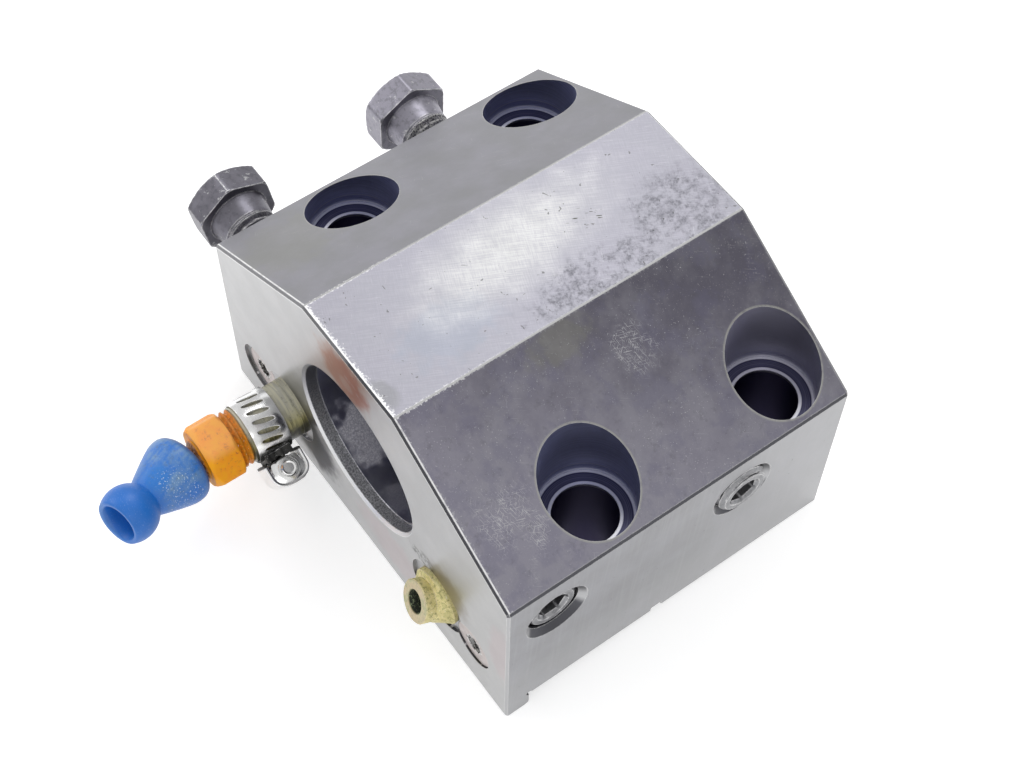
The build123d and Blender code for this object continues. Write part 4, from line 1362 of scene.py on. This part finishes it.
def make_segment():
    """Blue segment: snap rim, bell, waist and open ball."""
    ball_out, ball = 13.5, 6.35
    mouth = 16.9
    profile = [
        (5.35, -3.25), (5.9, -3.3), (6.7, -3.28), (7.25, -3.05), (7.7, -2.6), (7.95, -2.0), (8.0, -1.4),
        (7.97, -0.7), (7.8, 0.2), (7.35, 1.6), (6.7, 3.3), (6.0, 5.0), (5.3, 6.7), (4.75, 7.9), (4.45, 8.5),
        (4.38, 8.75),
    ]
    first = atan2(4.45, 9.0 - ball_out)
    profile += ball_profile(ball, ball_out, first, mouth_angle(ball, mouth - ball_out))
    profile += [(5.1, 17.0), (4.55, 16.95), (4.3, 16.7), (4.0, 14.5), (3.3, 11.0), (2.95, 9.0), (2.9, 7.0)]
    socket = 6.25
    steps = 13
    inner, outer = 0.72, 2.12
    for step in range(steps + 1):
        angle = inner + (outer - inner) * step / steps
        profile.append((socket * sin(angle), socket * cos(angle)))
    points, faces = skin(round_rings(profile, 96), loop=True)
    place = axis_place(pivot("ball_segment_swivel"), SEGMENT_HEADING, (1, 0, 0))
    piece = new_piece("blue_segment", points, faces, blue_finish(), place, 40.0)
    settle(piece, "ball_segment", "blue_plastic", "ball_segment")


def stub_foot():
    """Where the right stub's bent part starts, on the front face."""
    centre = middle("coolant_stub_right")
    return Vector((centre.x, BLOCK_LOW.y, centre.z))


def make_nozzle():
    """Right brass stub: a bent, lumpy tube that grows out of its collar."""
    foot, out = stub_foot(), STUB_HEADING
    face_out = Vector((0, -1, 0))
    count = 72
    reach = 5.3

    def ring_at(origin, direction, radius, lump=0.0):
        place = axis_place(origin, direction, (1, 0, 0))
        ring = []
        for k in range(count):
            angle = 2 * pi * k / count
            spot = Vector((cos(angle), sin(angle), 0))
            wobble = lump * noise.noise(Vector((cos(angle) * 1.7, sin(angle) * 1.7, origin.y * 0.6)))
            ring.append(tuple(place @ (spot * (radius + min(0.0, wobble - 0.1 * lump)))))
        return ring

    rings = [
        ring_at(foot - face_out * 0.75, face_out, 6.6),
        ring_at(foot + face_out * 0.15, face_out, 6.7, 0.2),
    ]
    steps = 14
    for step in range(steps + 1):
        share = step / steps
        direction = face_out.lerp(out, min(1.0, share * 1.8)).normalized()
        origin = foot + out * (0.5 + (reach - 0.75) * share)
        radius = 4.8 + 1.75 * (1 - min(1.0, share / 0.5)) ** 0.9
        rings.append(ring_at(origin, direction, radius, 0.45 * (1 - share) + 0.08))
    for radius, sunk in ((4.55, 0.0), (2.75, 0.0), (2.45, 0.35), (2.4, 4.0)):
        rings.append(ring_at(foot + out * (reach - sunk), out, radius))
    points, faces = skin(rings)
    piece = new_piece("brass_nozzle", points, faces, brass_finish(), None, 40.0)
    settle(piece, "block", "stub_brass", "coolant_stub_right")


# Stage


def make_stage():
    """Floor under the lip and the rear edge, soft lamps, world and camera."""
    scene = bpy.context.scene
    lip_depth = 4.8
    lip = Vector((0, BLOCK_LOW.y + lip_depth, BLOCK_LOW.z)) * MM
    heel = Vector((0, BLOCK_HIGH.y, 0)) * MM
    run = (heel - lip).normalized()
    across = Vector((1, 0, 0))
    reach = 1.6
    turns = ((-1, -1), (-1, 1), (1, 1), (1, -1))
    corners = [lip + run * (back * reach) + across * (side * reach) for back, side in turns]
    mesh = bpy.data.meshes.new("floor")
    mesh.from_pydata(corners, [], [(0, 1, 2, 3)])
    mesh.materials.append(floor_finish())
    ground = bpy.data.objects.new("floor", mesh)
    scene.collection.objects.link(ground)

    world = bpy.data.worlds.new("studio")
    world.use_nodes = True
    sky = world.node_tree.nodes["Background"]
    sky.inputs["Color"].default_value = (1.0, 1.0, 1.0, 1.0)
    sky.inputs["Strength"].default_value = 0.8
    scene.world = world

    lamps = (
        ("overhead", Vector((-0.38, 0.30, 0.76)), 0.4, 1.75),
        ("left", Vector((-0.75, -0.45, 0.5)), 0.3, 0.9),
        ("right", Vector((0.7, -0.35, 0.65)), 0.3, 0.6),
    )
    aim = Vector((0, -0.01, 0.03))
    for name, spot, side, power in lamps:
        light = bpy.data.lights.new(name, "AREA")
        light.shape = "SQUARE"
        light.size = side
        light.energy = power
        lamp = bpy.data.objects.new(name, light)
        lamp.location = spot
        lamp.rotation_mode = "QUATERNION"
        lamp.rotation_quaternion = (aim - spot).to_track_quat("-Z", "Y")
        scene.collection.objects.link(lamp)

    lens = bpy.data.cameras.new("viewpoint")
    lens.lens = CAMERA_LENS
    camera = bpy.data.objects.new("viewpoint", lens)
    rotation = Matrix((CAMERA_RIGHT, -CAMERA_DOWN, -CAMERA_FORWARD)).transposed()
    camera.matrix_world = Matrix.Translation(CAMERA_PLACE) @ rotation.to_4x4()
    scene.collection.objects.link(camera)
    scene.camera = camera
    scene.view_settings.view_transform = "Standard"


# Operators and panel


class HOLDER_OT_stage(bpy.types.Operator):
    """Set up the floor, lamps, world and camera"""

    bl_idname = "holder.stage"
    bl_label = "Stage"

    def execute(self, context):
        make_stage()
        return {"FINISHED"}


class HOLDER_OT_block(bpy.types.Operator):
    """Give the steel block its worn finish"""

    bl_idname = "holder.block"
    bl_label = "Block"

    def execute(self, context):
        dress("holder_block", block_finish())
        return {"FINISHED"}


class HOLDER_OT_clamp_bolts(bpy.types.Operator):
    """Make the hex-head clamp bolts"""

    bl_idname = "holder.clamp_bolts"
    bl_label = "Clamp bolts"

    def execute(self, context):
        make_clamp_bolts()
        return {"FINISHED"}


class HOLDER_OT_set_screws(bpy.types.Operator):
    """Make the socket set screws"""

    bl_idname = "holder.set_screws"
    bl_label = "Set screws"

    def execute(self, context):
        make_set_screws()
        return {"FINISHED"}


class HOLDER_OT_ports(bpy.types.Operator):
    """Dress the port plugs and make the brass nozzle"""

    bl_idname = "holder.ports"
    bl_label = "Ports"

    def execute(self, context):
        plug = plug_finish()
        dress("port_plug_right", plug)
        dress("port_plug_left", plug)
        dress("coolant_stub_left", hose_finish("stub_tarnish"))
        make_nozzle()
        return {"FINISHED"}


class HOLDER_OT_hose(bpy.types.Operator):
    """Make the short hose and its clamp"""

    bl_idname = "holder.hose"
    bl_label = "Hose and clamp"

    def execute(self, context):
        make_hose()
        make_hose_clamp()
        return {"FINISHED"}


class HOLDER_OT_nozzle(bpy.types.Operator):
    """Make the orange connector and the blue segment"""

    bl_idname = "holder.nozzle"
    bl_label = "Connector and segment"

    def execute(self, context):
        make_connector()
        make_segment()
        return {"FINISHED"}


STEPS = (
    HOLDER_OT_stage,
    HOLDER_OT_block,
    HOLDER_OT_clamp_bolts,
    HOLDER_OT_set_screws,
    HOLDER_OT_ports,
    HOLDER_OT_hose,
    HOLDER_OT_nozzle,
)


class HOLDER_PT_panel(bpy.types.Panel):
    """Lists the steps, sizes and colours"""

    bl_idname = "HOLDER_PT_panel"
    bl_label = "Boring Bar Holder"
    bl_space_type = "VIEW_3D"
    bl_region_type = "UI"
    bl_category = "Holder"

    def draw(self, context):
        for step in STEPS:
            self.layout.operator(step.bl_idname)
        for group in (context.scene.holder_sizes, context.scene.holder_colours):
            for name in group.__annotations__:
                self.layout.prop(group, name)


CLASSES = (HolderSizes, HolderColours, *STEPS, HOLDER_PT_panel)


def register():
    for each in CLASSES:
        bpy.utils.register_class(each)
    bpy.types.Scene.holder_sizes = bpy.props.PointerProperty(type=HolderSizes)
    bpy.types.Scene.holder_colours = bpy.props.PointerProperty(type=HolderColours)


def unregister():
    del bpy.types.Scene.holder_colours
    del bpy.types.Scene.holder_sizes
    for each in reversed(CLASSES):
        bpy.utils.unregister_class(each)


def main():
    register()
    bpy.ops.holder.stage()
    bpy.ops.holder.block()
    bpy.ops.holder.clamp_bolts()
    bpy.ops.holder.set_screws()
    bpy.ops.holder.ports()
    bpy.ops.holder.hose()
    bpy.ops.holder.nozzle()


if __name__ == "__main__":
    main()
